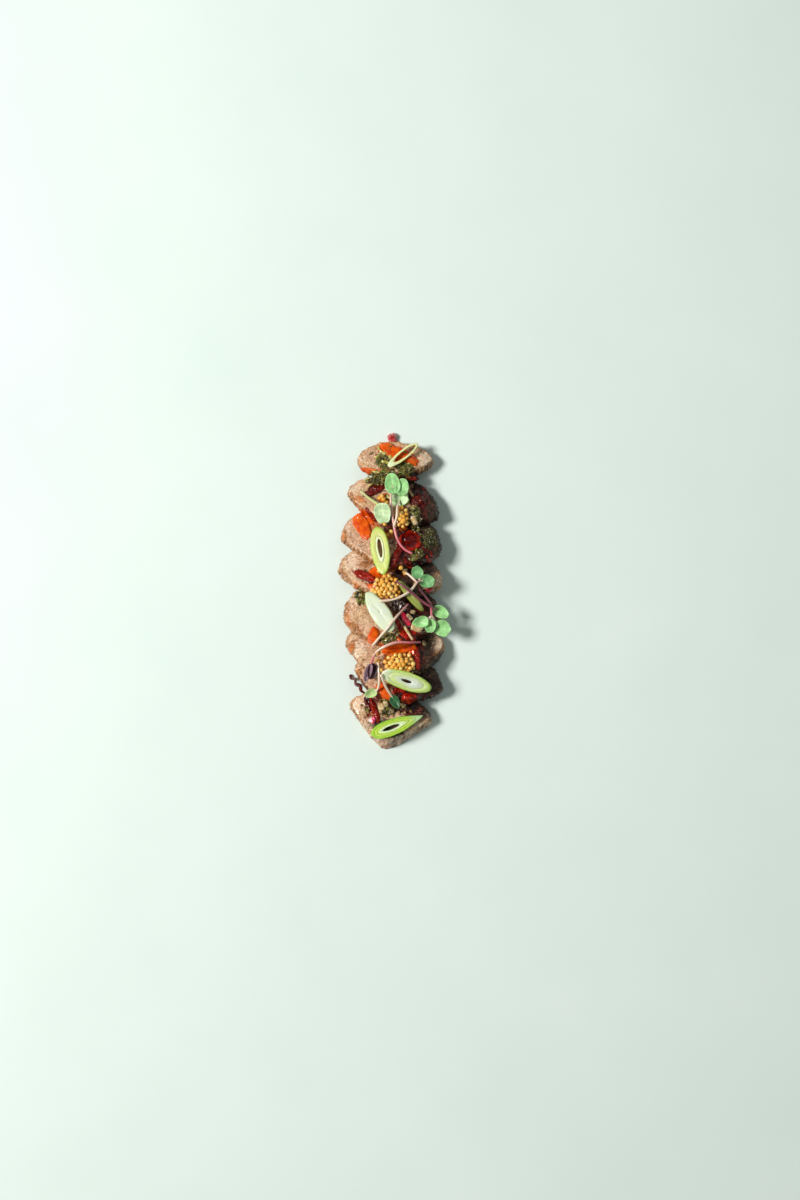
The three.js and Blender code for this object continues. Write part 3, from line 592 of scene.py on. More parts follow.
glaze = Finish("dark_glaze")
glaze_clots = glaze.clouds(2.4, detail=4)
glaze_glints = glaze.clouds(0.8, detail=2)
glaze_colour = glaze.coats(
    glaze.mix(glaze_clots.rise(0.38, 0.74), (12, 3, 3), (84, 14, 8)),
    (glaze.clouds(5, detail=2).rise(0.54, 0.72) * 0.4, (84, 44, 26)),
    # Pale brown specks on the glaze: partly brown fragments, partly painted glints.
    (glaze_glints.rise(0.6, 0.68) * 0.55, (168, 116, 88)),
)
glaze.surface(glaze_colour, 0.3, 0.2, 0.3 + glaze_glints.rise(0.48, 0.6) * 0.7)
glaze.relief(glaze_clots + glaze_glints * 0.9, 1.0)
for number, spot in enumerate(GLAZES, 1):
    bridge = number == BRIDGING_GLAZE
    form = draped_spot(*spot, wave=0.26, lump=0.5, lump_size=2.6, seed=number, bridge=bridge)
    finished(form, f"glaze_{number}", glaze, "pepper")

sauce = Finish("orange_pepper_sauce")
sauce_swirl = sauce.clouds(3.2, detail=4, roughness=0.6)
sauce_pulp = sauce.clouds(0.8)
sauce_colour = sauce.coats(
    sauce.mix(sauce_swirl.rise(0.4, 0.68), (222, 92, 2), (196, 52, 2)),
    (sauce_pulp.rise(0.55, 0.75) * 0.5, (232, 120, 20)),
)
sauce_coat = 0.4 + sauce_pulp.rise(0.46, 0.6) * 0.4
sauce.surface(sauce_colour, 0.35, 0.12, sauce_coat, 0.04, (0.1, (1.0, 0.3, 0.05), 1.0))
sauce.relief(sauce_pulp * 0.3 + sauce_swirl, 0.22)
for number, spot in enumerate(SAUCE_SMEARS, 1):
    form = draped_spot(*spot, wave=0.45, lump=0.35, seed=30 + number)
    finished(form, f"sauce_smear_{number}", sauce, "orange_sauce")
for number, (node, *laid_out) in enumerate(SAUCES):
    form = draped(middle_of(node), *laid_out, wave=0.2, lump=0.4, lump_size=3.0, seed=50 + number)
    finished(form, f"spooned_{node}", sauce, "orange_sauce", node)


# The peppers: strips and torn pieces of charred sweet pepper, soft, wrinkled and dark red to maroon, glossy
# with their own syrup. The largest is a smooth domed petal, and one is a dark jam whose pale flecks are
# # painted highlights.
# The last value of each is how bright it is, from maroon (0) to red (1).
PEPPERS = [
    ("pepper_1", (13.8, 5), 27, 1.4, 0.3), ("pepper_2", (9.5, 8.4), 0, 1.2, 0.1),
    ("pepper_4", (15.1, 4.6), -22, 1.5, 0.8), ("pepper_5", (15, 5), 65, 1.4, 0.3),
    ("pepper_6", (10.9, 3.6), -56, 1.4, 0.2), ("pepper_7", (11.5, 6), -5, 1.6, 0.1),
    ("pepper_8", (12, 5), -37, 1.5, 0.9), ("pepper_9", (14, 3.6), 92, 1.5, 0.5),
    ("pepper_10", (7.6, 7.3), 0, 1.6, 1.0), ("pepper_11", (13.8, 3.6), -69, 1.4, 0.8),
]
PEPPER_BITS = [
    (429, 560, 9, 4, 60, 1.3, 0.8), (421, 500, 8, 4, 30, 1.1, 0.2), (426, 487, 7, 4, -20, 1.0, 0.3),
    (412, 478, 12, 5, 12, 1.2, 0.6), (402, 615, 9, 4, 40, 1.3, 0.9), (395, 609, 8, 4, 60, 1.2, 0.5),
    (412, 632, 12, 6, 20, 1.3, 0.9), (400, 690, 14, 6, -10, 1.2, 0.9), (432, 555, 7, 3, 70, 1.0, 0.4),
    (412, 697, 10, 7, 0, 1.3, 1.0), (398, 545, 7, 4, -60, 1.0, 0.2), (409, 668, 6, 4, 0, 1.0, 0.6),
    (371, 515, 17, 4.5, 52, 0.9, 0.6), (367, 705, 15, 4, 65, 1.4, 0.0), (397, 621, 17, 4.5, 62, 1.1, 1.0),
]
PETAL_EDGE = (409, 540, 23, 21, -20)
BRIGHT_STEPS = 4


def pepper_finish(name, bright):
    """Charred pepper, from dark maroon (0) to bright red (1)."""
    finish = Finish(name)
    dark = [a + (b - a) * bright for a, b in zip((48, 4, 4), (136, 10, 3))]
    light = [a + (b - a) * bright for a, b in zip((116, 22, 10), (198, 40, 6))]
    char = finish.clouds(1.4, detail=5, roughness=0.65)
    skin = finish.clouds((0.5, 2.6, 0.9), (0, 0, 35))
    colour = finish.coats(
        finish.mix(char.rise(0.38, 0.66), dark, light), (skin.rise(0.6, 0.78) * 0.35, (214, 96, 34))
    )
    coat = char.rise(0.46, 0.6) * 0.6 + 0.15
    finish.surface(colour, 0.32, 0.12, coat, 0.04, (0.1, (1.0, 0.1, 0.05), 0.8))
    finish.relief(char + skin * 0.6, 0.6)
    return finish


tones = range(BRIGHT_STEPS + 1)
pepper_finishes = [pepper_finish(f"charred_pepper_{tone}", tone / BRIGHT_STEPS) for tone in tones]
for number, (*spot, bright) in enumerate(PEPPER_BITS, 1):
    form = draped_spot(*spot, wave=0.4, lump=0.5, lump_size=1.2, step=0.28, seed=70 + number)
    finished(form, f"pepper_bit_{number}", pepper_finishes[round(bright * BRIGHT_STEPS)], "pepper")

jam = Finish("pepper_jam")
jam_beads = jam.clouds(1.2, detail=2)
jam_colour = jam.coats(
    jam.mix(jam_beads.rise(0.4, 0.7), (16, 5, 6), (98, 22, 18)),
    # Pale flecks: painted highlights, the sparkle of the syrup.
    (jam.clouds(1.0, (30, 20, 0), detail=1).rise(0.54, 0.6) * 0.95, (232, 220, 212)),
)
jam.surface(jam_colour, 0.12, coat=1.0)
jam.relief(jam_beads, 2.0)
for number, (node, *laid_out, bright) in enumerate(PEPPERS):
    form = draped(middle_of(node), *laid_out, wave=0.3, lump=0.6, lump_size=1.5, step=0.28, seed=90 + number)
    finish = jam if node == "pepper_7" else pepper_finishes[round(bright * BRIGHT_STEPS)]
    finished(form, f"charred_{node}", finish, "pepper", node)

petal_finish = Finish("pepper_petal")
petal_depth = petal_finish.clouds(5, detail=2)
petal_colour = petal_finish.coats(
    petal_finish.mix(petal_depth.rise(0.4, 0.62), (70, 4, 3), (116, 12, 5)),
    (petal_finish.field("rim"), (176, 30, 8)),
)
petal_finish.surface(petal_colour, 0.3, 0.1, 0.35, 0.05, (0.15, (1.0, 0.1, 0.05), 1.0))
petal_finish.relief(petal_depth, 0.25)
petal_shape = {"wave": 0.12, "lump": 0.1, "lump_size": 4.0, "step": 0.28, "seed": 5.0}
petal = draped(middle_of("pepper_3"), (13, 12), 20, 1.9, **petal_shape)
rim = petal.verts.layers.float.new("rim")
for vert in petal.verts:
    share = 1 - inside(vert.co.x, vert.co.y, *PETAL_EDGE)
    vert[rim] = max(0.0, min(1.0, (share - 0.62) / 0.3))
finished(petal, "pepper_petal_3", petal_finish, "pepper", "pepper_3")


# The chopped herbs: small heaps of parsley, chive and spring onion tops, cut fine and left dark and shiny
# by oil, over a soaked core. Loose flecks of the same lie between the heaps. Dark patches among the bits and
# # a darker right side are painted shade.
HERB_HEAPS = [
    ("herbs_1", (15.7, 6), 10, 2.0), ("herbs_2", (8.4, 6.7), 0, 2.0), ("herbs_3", (7.3, 6.2), 0, 1.8),
    ("herbs_4", (12.3, 5.6), 90, 1.8), ("herbs_5", (10.1, 7.8), 90, 1.8), ("herbs_6", (6.4, 4.4), 20, 1.6),
    ("herbs_7", (7.5, 4.6), 100, 1.4), ("herbs_8", (9, 5), 0, 1.8), ("herbs_9", (8.4, 6), 100, 1.8),
]
HERB_FLECKS = [
    (392, 444, 5, 5), (378, 453, 18, 5), (384, 462, 12, 5), (396, 466, 18, 10), (408, 470, 12, 6),
    (372, 472, 8, 4), (364, 489, 6, 2), (413, 510, 10, 5), (432, 533, 9, 8), (428, 543, 8, 4),
    (366, 709, 8, 5), (402, 708, 12, 5), (390, 708, 10, 6), (386, 656, 6, 5), (383, 665, 5, 4),
    (358, 596, 8, 4), (414, 576, 8, 4), (396, 632, 14, 6), (412, 560, 7, 4), (384, 702, 8, 4),
    (418, 521, 8, 4), (370, 476, 10, 3), (372, 545, 4, 3), (406, 452, 6, 3), (420, 600, 6, 3),
]
BITS_PER_AREA = 4.4
HEAP_BIT, LOOSE_BIT = 0.58, 0.7
FLAKE_THICKNESS = 0.14 * MM
chance = random.Random(7)


def any_turn(axis, low, high):
    """A turn about an axis, by chance."""
    return Matrix.Rotation(chance.uniform(low, high), 4, axis)


def herb_bits(places, size):
    """Chopped bits at these places: folded leaf flakes and thick chunks, each with its own tint."""
    form = bmesh.new()
    tint = form.verts.layers.float.new("tint")
    for place in places[::2]:
        made = bmesh.ops.create_grid(form, x_segments=2, y_segments=2, size=0.5)["verts"]
        bend = chance.uniform(0.2, 0.5)
        for vert in made:
            vert.co.z = bend * (0.25 - vert.co.x**2) + 0.3 * vert.co.x * vert.co.y
        turned = any_turn("Z", 0, math.tau) @ any_turn("X", -0.8, 0.8) @ any_turn("Y", -0.8, 0.8)
        length, width = chance.uniform(0.7, 3.4) * size, chance.uniform(0.5, 1.5) * size
        grown = Matrix.Diagonal((length * MM, width * MM, size * MM, 1))
        bmesh.ops.transform(form, matrix=Matrix.Translation(place) @ turned @ grown, verts=made)
        tone = chance.random()
        for vert in made:
            vert[tint] = tone
    bmesh.ops.solidify(form, geom=form.faces[:], thickness=FLAKE_THICKNESS)
    for place in places[1::2]:
        turned = Matrix.Translation(place) @ any_turn("Z", 0, math.tau) @ any_turn("X", -0.7, 0.7)
        sides = [chance.uniform(low, high) * size * MM for low, high in ((0.4, 1.3), (0.3, 0.7), (0.2, 0.5))]
        matrix = turned @ Matrix.Diagonal((*sides, 1))
        made = bmesh.ops.create_icosphere(form, subdivisions=1, radius=1, matrix=matrix)["verts"]
        tone = chance.random()
        for vert in made:
            vert.co += Vector([chance.uniform(-0.08, 0.08) * size * MM for _ in range(3)])
            vert[tint] = tone
    return form


def scattered(middle, length, width, turn, count, lift):
    """Places spread over a ragged oval in millimetres, on top of what lies there."""
    places = []
    turned = Matrix.Rotation(math.radians(turn), 2)
    for _ in range(count):
        share, angle = math.sqrt(chance.random()), chance.uniform(0, math.tau)
        flat = turned @ Vector((math.cos(angle) * length, math.sin(angle) * width)) * share / 2 * MM
        x, y = middle[0] + flat.x, middle[1] + flat.y
        level = ground(x, y)
        gap = noise.noise(Vector((x, y, 0)) / (2.6 * MM))
        if level > MM and share + 0.9 * gap < 1:
            places.append(Vector((x, y, level + lift * chance.uniform(0.4, 1.2) * MM)))
    return places


soaked_finish = Finish("soaked_herbs")
mottle = soaked_finish.clouds(1.2, detail=4, roughness=0.7)
soaked_colour = soaked_finish.mix(mottle.rise(0.35, 0.65), (34, 30, 12), (96, 78, 34))
soaked_finish.surface(soaked_colour, 0.25, coat=0.5, coat_roughness=0.1)
soaked_finish.relief(mottle, 0.8)
chopped = Finish("chopped_herbs")
tint = chopped.field("tint")
speck = chopped.clouds(0.5)
herb_tints = [
    (0.3, (128, 96, 44)), (0.42, (112, 122, 44)), (0.56, (158, 140, 68)), (0.7, (146, 166, 74)),
    (0.82, (168, 100, 48)), (0.86, (214, 200, 140)), (0.94, (62, 66, 28)), (0.98, (120, 44, 24)),
]
herb_colour = chopped.coats(
    chopped.mix(tint.rise(0.08, 0.2), (40, 48, 20), (98, 90, 34)),
    *[(tint.rise(start - 0.01, start + 0.01), tone) for start, tone in herb_tints],
    (speck.rise(0.5, 0.7) * 0.35, (84, 78, 30)),
    # Dark patches: painted shade between the bits. Further right, more painted shade, where the row lies in
    # shadow.
    (chopped.clouds(3).rise(0.48, 0.64) * 0.65, (24, 28, 14)),
    (chopped.across().rise(11, 18) * 0.7, (22, 28, 18)),
)
chopped.surface(herb_colour, 0.35, 0.3, 0.4, 0.06)
chopped.relief(speck, 0.2)
for number, (node, size, turn, high) in enumerate(HERB_HEAPS, 1):
    core_shape = {"wave": 0.5, "lump": 0.8, "lump_size": 1.8, "step": 0.4, "seed": 110 + number}
    core = draped(middle_of(node), size, turn, 0.5 * high, bridge=True, **core_shape)
    finished(core, f"soaked_{node}", soaked_finish, "herbs", node)
    count = round(size[0] * size[1] * BITS_PER_AREA)
    places = scattered(middle_of(node), size[0] * 1.25, size[1] * 1.4, turn, count, 0.6)
    finished(herb_bits(places, HEAP_BIT), f"chopped_{node}", chopped, "herbs", node, smooth=False)
loose = []
for column, row, length, width in HERB_FLECKS:
    size = (length * PIXEL / MM, width * PIXEL / MM)
    loose += scattered(picture_point(column, row), *size, 0, round(size[0] * size[1] * 0.5) + 2, 0.3)
finished(herb_bits(loose, LOOSE_BIT), "herb_flecks", chopped, "herbs", smooth=False)


# The pickled mustard seeds: whole yellow seeds, swollen to round shiny beads by their brine. They lie in
# five spoonfuls, packed side by side with a few on top, in a little orange syrup.
SEED_SIZE = 2.65
SEED_PITCH = SEED_SIZE * 0.97
SEED_RANKS = range(-9, 10)
SEED_HEAPS = [
    ("seeds_1", (15.6, 7.6), 95, 1.6), ("seeds_2", (7, 5.6), 45, 1.2), ("seeds_3", (7, 6.2), 0, 1.2),
    ("seeds_4", (16.6, 14.8), 0, 1.9), ("seeds_5", (18, 12), -5, 1.7),
]
STRAY_SEEDS = [
    (376, 668), (378, 661), (381, 670), (404, 521), (384, 545), (379, 571), (401, 568), (405, 573),
    (385, 524), (413, 668), (409, 590), (393, 497), (372, 596), (399, 597), (373, 590), (377, 653),
]
syrup = Finish("seed_syrup")
syrup_swirl = syrup.clouds(2.5)
syrup_colour = syrup.mix(syrup_swirl.rise(0.35, 0.65), (150, 62, 8), (206, 104, 22))
syrup.surface(syrup_colour, 0.3, 0.25, 0.6, 0.05, (0.15, (1.0, 0.4, 0.1), 1.0))
syrup.relief(syrup_swirl, 0.4)
pickled = Finish("pickled_seeds")
seed_blush = pickled.clouds(2.0, detail=2)
seed_colour = pickled.coats(
    pickled.mix(pickled.field("tint"), (226, 160, 50), (250, 212, 126)),
    (seed_blush.rise(0.45, 0.65) * 0.6, (238, 178, 70)),
)
pickled.surface(seed_colour, 0.34, 0.3, 0.6, 0.06, (0.35, (1.0, 0.45, 0.12), 1.2))
pickled.relief(seed_blush, 0.12)


def seed_beads(places):
    """Slightly oval beads at these places, each with its own tint."""
    form = bmesh.new()
    tint = form.verts.layers.float.new("tint")
    for place in places:
        turned = Matrix.Translation(place) @ any_turn("Z", 0, math.tau) @ any_turn("X", 0, 1.5)
        radius = SEED_SIZE / 2 * chance.uniform(0.88, 1.06) * MM
        matrix = turned @ Matrix.Diagonal((radius * 1.04, radius, radius * 0.94, 1))
        made = bmesh.ops.create_icosphere(form, subdivisions=2, radius=1, matrix=matrix)["verts"]
        tone = chance.random()
        for vert in made:
            vert[tint] = tone
    return form


def soft_level(x, y):
    """The middle height of five points, so that a seed doesn't climb on a single one below it."""
    near = [(0, 0), (MM, 0), (-MM, 0), (0, MM), (0, -MM)]
    return sorted(ground(x + dx, y + dy) for dx, dy in near)[2]


for number, (node, size, turn, high) in enumerate(SEED_HEAPS, 1):
    middle = middle_of(node)
    turned = Matrix.Rotation(math.radians(turn), 2)
    core_shape = {"wave": 0.1, "lump": 0.2, "lump_size": 2.5, "step": 0.4, "seed": 130 + number}
    core = draped(middle, (size[0] * 0.98, size[1] * 0.98), turn, 0.6 * high, **core_shape)
    finished(core, f"seed_syrup_{number}", syrup, "mustard_seeds", node)
    length, width = (side - SEED_SIZE * 0.6 for side in size)
    places = []
    layers = ((0, 1.0), (1, 0.7))
    for (layer, reach), i, j in [(pair, i, j) for pair in layers for i in SEED_RANKS for j in SEED_RANKS]:
        along = (i + (j % 2) / 2 + layer / 2) * SEED_PITCH + chance.uniform(-0.3, 0.3)
        up = (j * 0.87 + layer * 0.5) * SEED_PITCH + chance.uniform(-0.3, 0.3)
        share = math.hypot(2 * along / length, 2 * up / width)
        if share > reach + chance.uniform(-0.05, 0.09) or (layer and chance.random() < 0.25):
            continue
        flat = turned @ Vector((along, up)) * MM
        x, y = middle[0] + flat.x, middle[1] + flat.y
        lift = 0.5 + layer * 1.5 + high * 0.4 * max(0.0, 1 - share**2)
        places.append(Vector((x, y, soft_level(x, y) + lift * MM)))
    finished(seed_beads(places), f"mustard_{node}", pickled, "mustard_seeds", node)
strays = [picture_point(*spot) for spot in STRAY_SEEDS]
strays = [Vector((x, y, ground(x, y) + 0.7 * MM)) for x, y in strays]
finished(seed_beads(strays), "stray_seeds", pickled, "mustard_seeds")


# The small solid toppings: pale dice of pickled shallot and apple, yellow-green slivers of pickle, and dry
# brown crumbs, all scattered by hand over the sauces.
PALE_DICE = [
    (414, 521, 9, 6, 60), (417, 628, 12, 9, 10), (409, 617, 9, 5, 50), (381, 707, 9, 6, 70),
    (386, 704, 7, 5, 80), (424, 643, 6, 4, 60), (403, 705, 7, 4, 40), (391, 711, 6, 5, 30),
    (413, 612, 6, 4, 20), (405, 570, 5, 8, 20), (408.5, 633, 17, 2.6, 57), (411, 493, 9, 2.6, 55),
    (389, 600, 5, 3, 20),
]
PICKLE_SLIVERS = [
    (383, 452, 9, 2.4, 25), (377, 456, 6, 2.4, -30), (385, 462, 8, 3, 10), (379, 448, 7, 2, 60),
    (390, 457, 5, 3, 80), (366, 479, 9, 1.6, -20), (372, 483, 9, 1.8, -30), (376, 472, 9, 2, 10),
    (389, 497, 6, 4, 20), (374, 655, 5, 2, 60), (361, 594, 6, 2, 80), (407, 503, 4, 9, 15),
]
CRUMBS = [
    (364, 708, 2.6), (368, 713, 3), (372, 716, 2), (366, 716, 3), (369, 709, 2), (361, 706, 2), (393, 716, 3),
    (399, 713, 3), (405, 713, 3), (411, 712, 3), (386, 716, 3), (370, 721, 2), (375, 728, 2), (363, 660, 2),
    (415, 584, 4),
]
STEEPEST_TILT = 0.6


def sliver(place, sides, turn, tilt=0.0):
    """A cut piece with rounded, uneven corners, lying where it fell. Sides are in millimetres."""
    form = bmesh.new()
    bmesh.ops.create_cube(form, size=1)
    bmesh.ops.subdivide_edges(form, edges=form.edges[:], cuts=3, use_grid_fill=True)
    for vert in form.verts:
        corner = abs(vert.co.x * 2) ** 3 + abs(vert.co.y * 2) ** 3 + abs(vert.co.z * 2) ** 3
        uneven = noise.noise(vert.co * 1.7 + Vector((place.x, place.y, place.z)) * 900)
        vert.co *= (1 - 0.3 * corner / 3) * (1.06 + 0.34 * uneven)
        vert.co.x, vert.co.y, vert.co.z = (c * side * MM for c, side in zip(vert.co, sides))
    turned = Matrix.Rotation(math.radians(turn), 4, "Z") @ Matrix.Rotation(tilt, 4, "Y")
    bmesh.ops.transform(form, matrix=Matrix.Translation(place) @ turned, verts=form.verts)
    return form


def laid_sliver(column, row, length, width, turn, high):
    """A sliver lying at a point of the picture, its length and width in pixels of it, on what is there."""
    x, y = picture_point(column, row)
    way = Vector((math.cos(math.radians(turn)), math.sin(math.radians(turn)))) * length * PIXEL * 0.35
    ends = [ground(x - way.x, y - way.y), ground(x + way.x, y + way.y)]
    tilt = -math.atan2(ends[1] - ends[0], 2 * way.length)
    tilt = max(-STEEPEST_TILT, min(STEEPEST_TILT, tilt))
    level = max(sum(ends) / 2, ground(x, y)) + 0.35 * high * MM
    return sliver(Vector((x, y, level)), (length * PIXEL / MM, width * PIXEL / MM, high), turn, tilt)


def joined(forms):
    """One mesh of several."""
    whole = bmesh.new()
    for form in forms:
        part = bpy.data.meshes.new("part")
        form.to_mesh(part)
        form.free()
        whole.from_mesh(part)
        bpy.data.meshes.remove(part)
    return whole


def slivers(spots, high):
    return joined([laid_sliver(c, r, length, width, -turn, high) for c, r, length, width, turn in spots])


shallot = Finish("pickled_shallot")
film = shallot.clouds(1.6, detail=4)
shallot_colour = shallot.mix(film.rise(0.35, 0.65), (178, 146, 96), (214, 190, 146))
shallot.surface(shallot_colour, 0.26, coat=0.4, coat_roughness=0.1, flesh=(0.25, (1.0, 0.7, 0.4), 1.0))
shallot.relief(film, 0.4)
finished(slivers(PALE_DICE, 1.9), "shallot_dice", shallot, "spring_onion")

pickle = Finish("pickle_slivers")
film = pickle.clouds((0.7, 2.4, 0.7))
pickle_colour = pickle.mix(film.rise(0.35, 0.65), (150, 136, 52), (206, 192, 102))
pickle.surface(pickle_colour, 0.3, coat=0.3, coat_roughness=0.1)
pickle.relief(film, 0.2)
finished(slivers(PICKLE_SLIVERS, 0.9), "pickle_slivers", pickle, "spring_onion")

crumb = Finish("brown_crumbs")
crumb_grain = crumb.clouds(0.5, detail=4, roughness=0.7)
crumb.surface(crumb.mix(crumb_grain.rise(0.35, 0.65), (112, 74, 34), (188, 142, 84)), 0.6)
crumb.relief(crumb_grain, 0.3)
crumbs = [laid_sliver(c, r, side, side * 0.8, 40 * side, 1.1) for c, r, side in CRUMBS]
finished(joined(crumbs), "crumbs", crumb, "herbs")


# The radish: pickled red radish, a chunk of two lobes on top of the row, a strip, and small dice, some cut
# so that their white inside shows. They are crisp, wet and deep pink to crimson.
# Each node with its skin and flesh, how much flesh shows, and the fineness of its mesh in millimetres.
RADISHES = [
    ("radish_1", (186, 52, 56), (214, 96, 84), 0.5, 0.22),
    ("radish_2", (230, 34, 76), (240, 110, 126), 0.25, 0.2),
    ("radish_3", (140, 14, 28), (176, 40, 50), 0.3, 0.2),
    ("radish_4", (224, 56, 106), (244, 204, 204), 0.5, 0.16),
]
CROWN_SPOT = (392.5, 438.5)
CROWN_SIDES = (4.6, 4.2, 3.0)


def radish_finish(name, skin, flesh, share):
    finish = Finish(name)
    marble = finish.clouds(1.8)
    pale = marble.rise(0.62 - share * 0.35, 0.8 - share * 0.35)
    if name == "pickled_radish_4":
        pale = (middle_of("radish_4")[0] / MM - finish.across() + marble * 2).rise(0.6, 1.6)
    tender = (0.25, (1.0, 0.3, 0.3), 1.0)
    finish.surface(finish.mix(pale, skin, flesh), 0.22 + 0.12 * marble, 0.5, 0.5, 0.08, tender)
    finish.relief(marble, 0.25)
    return finish


for number, (node, skin, flesh, share, fine) in enumerate(RADISHES):
    form = refined(node, fine * MM, 2)
    bump, swell = (0.1, 0.4) if node == "radish_2" else (0.22, 0)
    middle = middle_of(node)
    for vert in form.verts:
        uneven = noise.noise(vert.co / (1.3 * MM) + Vector((number, 0, 0)))
        vert.co += vert.normal * (bump * uneven + swell) * MM
        if node == "radish_1":
            across = abs(vert.co.x - middle[0]) / (0.5 * MM)
            vert.co.y -= 0.7 * math.exp(-across * across) * MM * (1 if vert.co.y > middle[1] else -0.3)
    finished(form, f"pickled_{node}", radish_finish(f"pickled_{node}", skin, flesh, share), "radish", node)

crown_x, crown_y = picture_point(*CROWN_SPOT)
crown = sliver(Vector((crown_x, crown_y, ground(crown_x, crown_y) + 1.7 * MM)), CROWN_SIDES, 20, 0.2)
finished(crown, "radish_crown", radish_finish("crown_radish", (176, 40, 48), (206, 80, 70), 0.5), "radish")


# The spring onion: six slices cut on a long slant, so that the round stalk gives pointed ovals. Each is a
# few thin layers round a hollow middle, lime green outside and white inside, stiff enough to lie flat.
# A slice lies on its plane: a height and two slopes. A layer has its inner and outer share and its height.
ONION_SLICES = {
    "onion_1": {
        "at": (5.1, 75.2), "size": (21.5, 5.8), "turn": 39, "hole": (14, 2.6), "shift": 1.5,
        "plane": (13, -0.08, -0.435), "layers": [(0.1, 1.0, 1.0)],
        "skin": (206, 214, 84), "flesh": (238, 238, 180), "core": (222, 214, 120),
    },
    "onion_2": {
        "at": (-7.5, 21.4), "size": (27.2, 10.4), "turn": -82, "hole": (10, 2.1), "shift": -1.5, "point": 0.1,
        "plane": (20.4, 0.175, -0.265), "layers": [(0.27, 1.0, 0.94), (0.02, 0.3, 1.0)],
        "skin": (156, 192, 44), "flesh": (208, 216, 118), "core": (230, 236, 200),
    },
    "onion_3": {
        "at": (-8, -12.5), "size": (25.9, 10.6), "turn": -57, "point": -0.12,
        "plane": (23.1, 0.11, -0.19), "layers": [(0.0, 1.0, 1.0)],
        "skin": (206, 218, 178), "flesh": (214, 222, 196), "core": (220, 228, 204),
    },
    "onion_4": {
        "at": (7.1, -51.1), "size": (29, 10.4), "turn": -19, "hole": (5, 1.3),
        "plane": (20.9, -0.22, 0.42), "layers": [(0.62, 1.0, 0.96), (0.03, 0.66, 1.0)],
        "skin": (186, 218, 84), "flesh": (222, 242, 156), "core": (238, 246, 226),
    },
    "onion_5": {
        "at": (1.8, -76.3), "size": (31, 8.8), "turn": 20, "hole": (9, 1.8), "shift": -3.6, "point": 0.3,
        "tail": 0.5, "plane": (12.8, -0.005, -0.22),
        "layers": [(0.7, 1.0, 0.98), (0.42, 0.73, 0.94), (0.03, 0.46, 1.0)],
        "skin": (136, 198, 8), "flesh": (182, 214, 60), "core": (216, 234, 190),
    },
    "onion_6": {
        "at": (9.5, -3.9), "size": (22, 4.8), "turn": -51,
        "plane": (19.2, -0.29, 0.26), "layers": [(0.0, 1.0, 1.0)],
        "skin": (132, 144, 44), "flesh": (170, 180, 80), "core": (178, 188, 100),
    },
}
ONION_THICKNESS = 2.6
RING_SEGMENTS, ROUND_SEGMENTS = 16, 112


def onion_layer(spec, inner, outer, high):
    """One layer: a squared ring turned full circle, drawn out to the slanted oval and laid on its plane."""
    form = bmesh.new()
    for vert in bmesh.ops.create_circle(form, segments=RING_SEGMENTS, radius=1)["verts"]:
        squared = [math.copysign(abs(c) ** 0.55, c) for c in vert.co.xy]
        vert.co.x = max(0.0, (inner + outer) / 2 + squared[0] * (outer - inner) / 2)
        vert.co.z = high / 2 + squared[1] * high / 2
        vert.co.y = 0
    bmesh.ops.spin(
        form, geom=form.verts[:] + form.edges[:], cent=(0, 0, 0), axis=(0, 0, 1), dvec=(0, 0, 0),
        angle=math.tau, steps=ROUND_SEGMENTS, use_merge=True, use_duplicate=False,
    )
    bmesh.ops.remove_doubles(form, verts=form.verts, dist=1e-5)
    bare = [edge for edge in form.edges if not edge.link_faces]
    bmesh.ops.delete(form, geom=bare, context="EDGES")
    bmesh.ops.recalc_face_normals(form, faces=form.faces)
    share_field, along_field = (form.verts.layers.float.new(name) for name in ("share", "along"))
    turned = Matrix.Rotation(math.radians(spec["turn"]), 2)
    length, width = spec["size"]
    thick = min(ONION_THICKNESS, 0.6 * width)
    hole, shift = spec.get("hole", (0, 0)), spec.get("shift", 0)
    point, tail = spec.get("point", 0), spec.get("tail", 0)
    base, slope_x, slope_y = spec["plane"]
    for vert in form.verts:
        share, height = math.hypot(vert.co.x, vert.co.y), vert.co.z
        angle = math.atan2(vert.co.y, vert.co.x)
        across, up = math.cos(angle), math.sin(angle)
        outward = (across, up * (1 - point * across) * (1 - tail * max(0.0, across) ** 2))
        inward = ((hole[0] * across + 2 * shift) / length, hole[1] * up / width)
        oval = [a + (b - a) * share for a, b in zip(inward, outward)]
        waver = 1 + 0.03 * noise.noise(Vector((across * 2, up * 2, length + share)))
        flat = turned @ Vector((oval[0] * length, oval[1] * width)) * 0.5 * waver
        sag = -0.25 * abs(across) ** 6 * share
        dome = 0 if spec["layers"][0][0] else (1 - share**2) * 0.5
        rough = 0.09 * noise.noise(Vector((flat.x, flat.y, length)) * 1.6) * (height > 0.5)
        z = base + slope_x * flat.x + slope_y * flat.y
        z += thick * height * (1 + 0.1 * dome) + sag * height + rough
        vert.co = Vector((spec["at"][0] + flat.x, spec["at"][1] + flat.y, z)) * MM
        vert[share_field] = share
        vert[along_field] = oval[0]
    return form


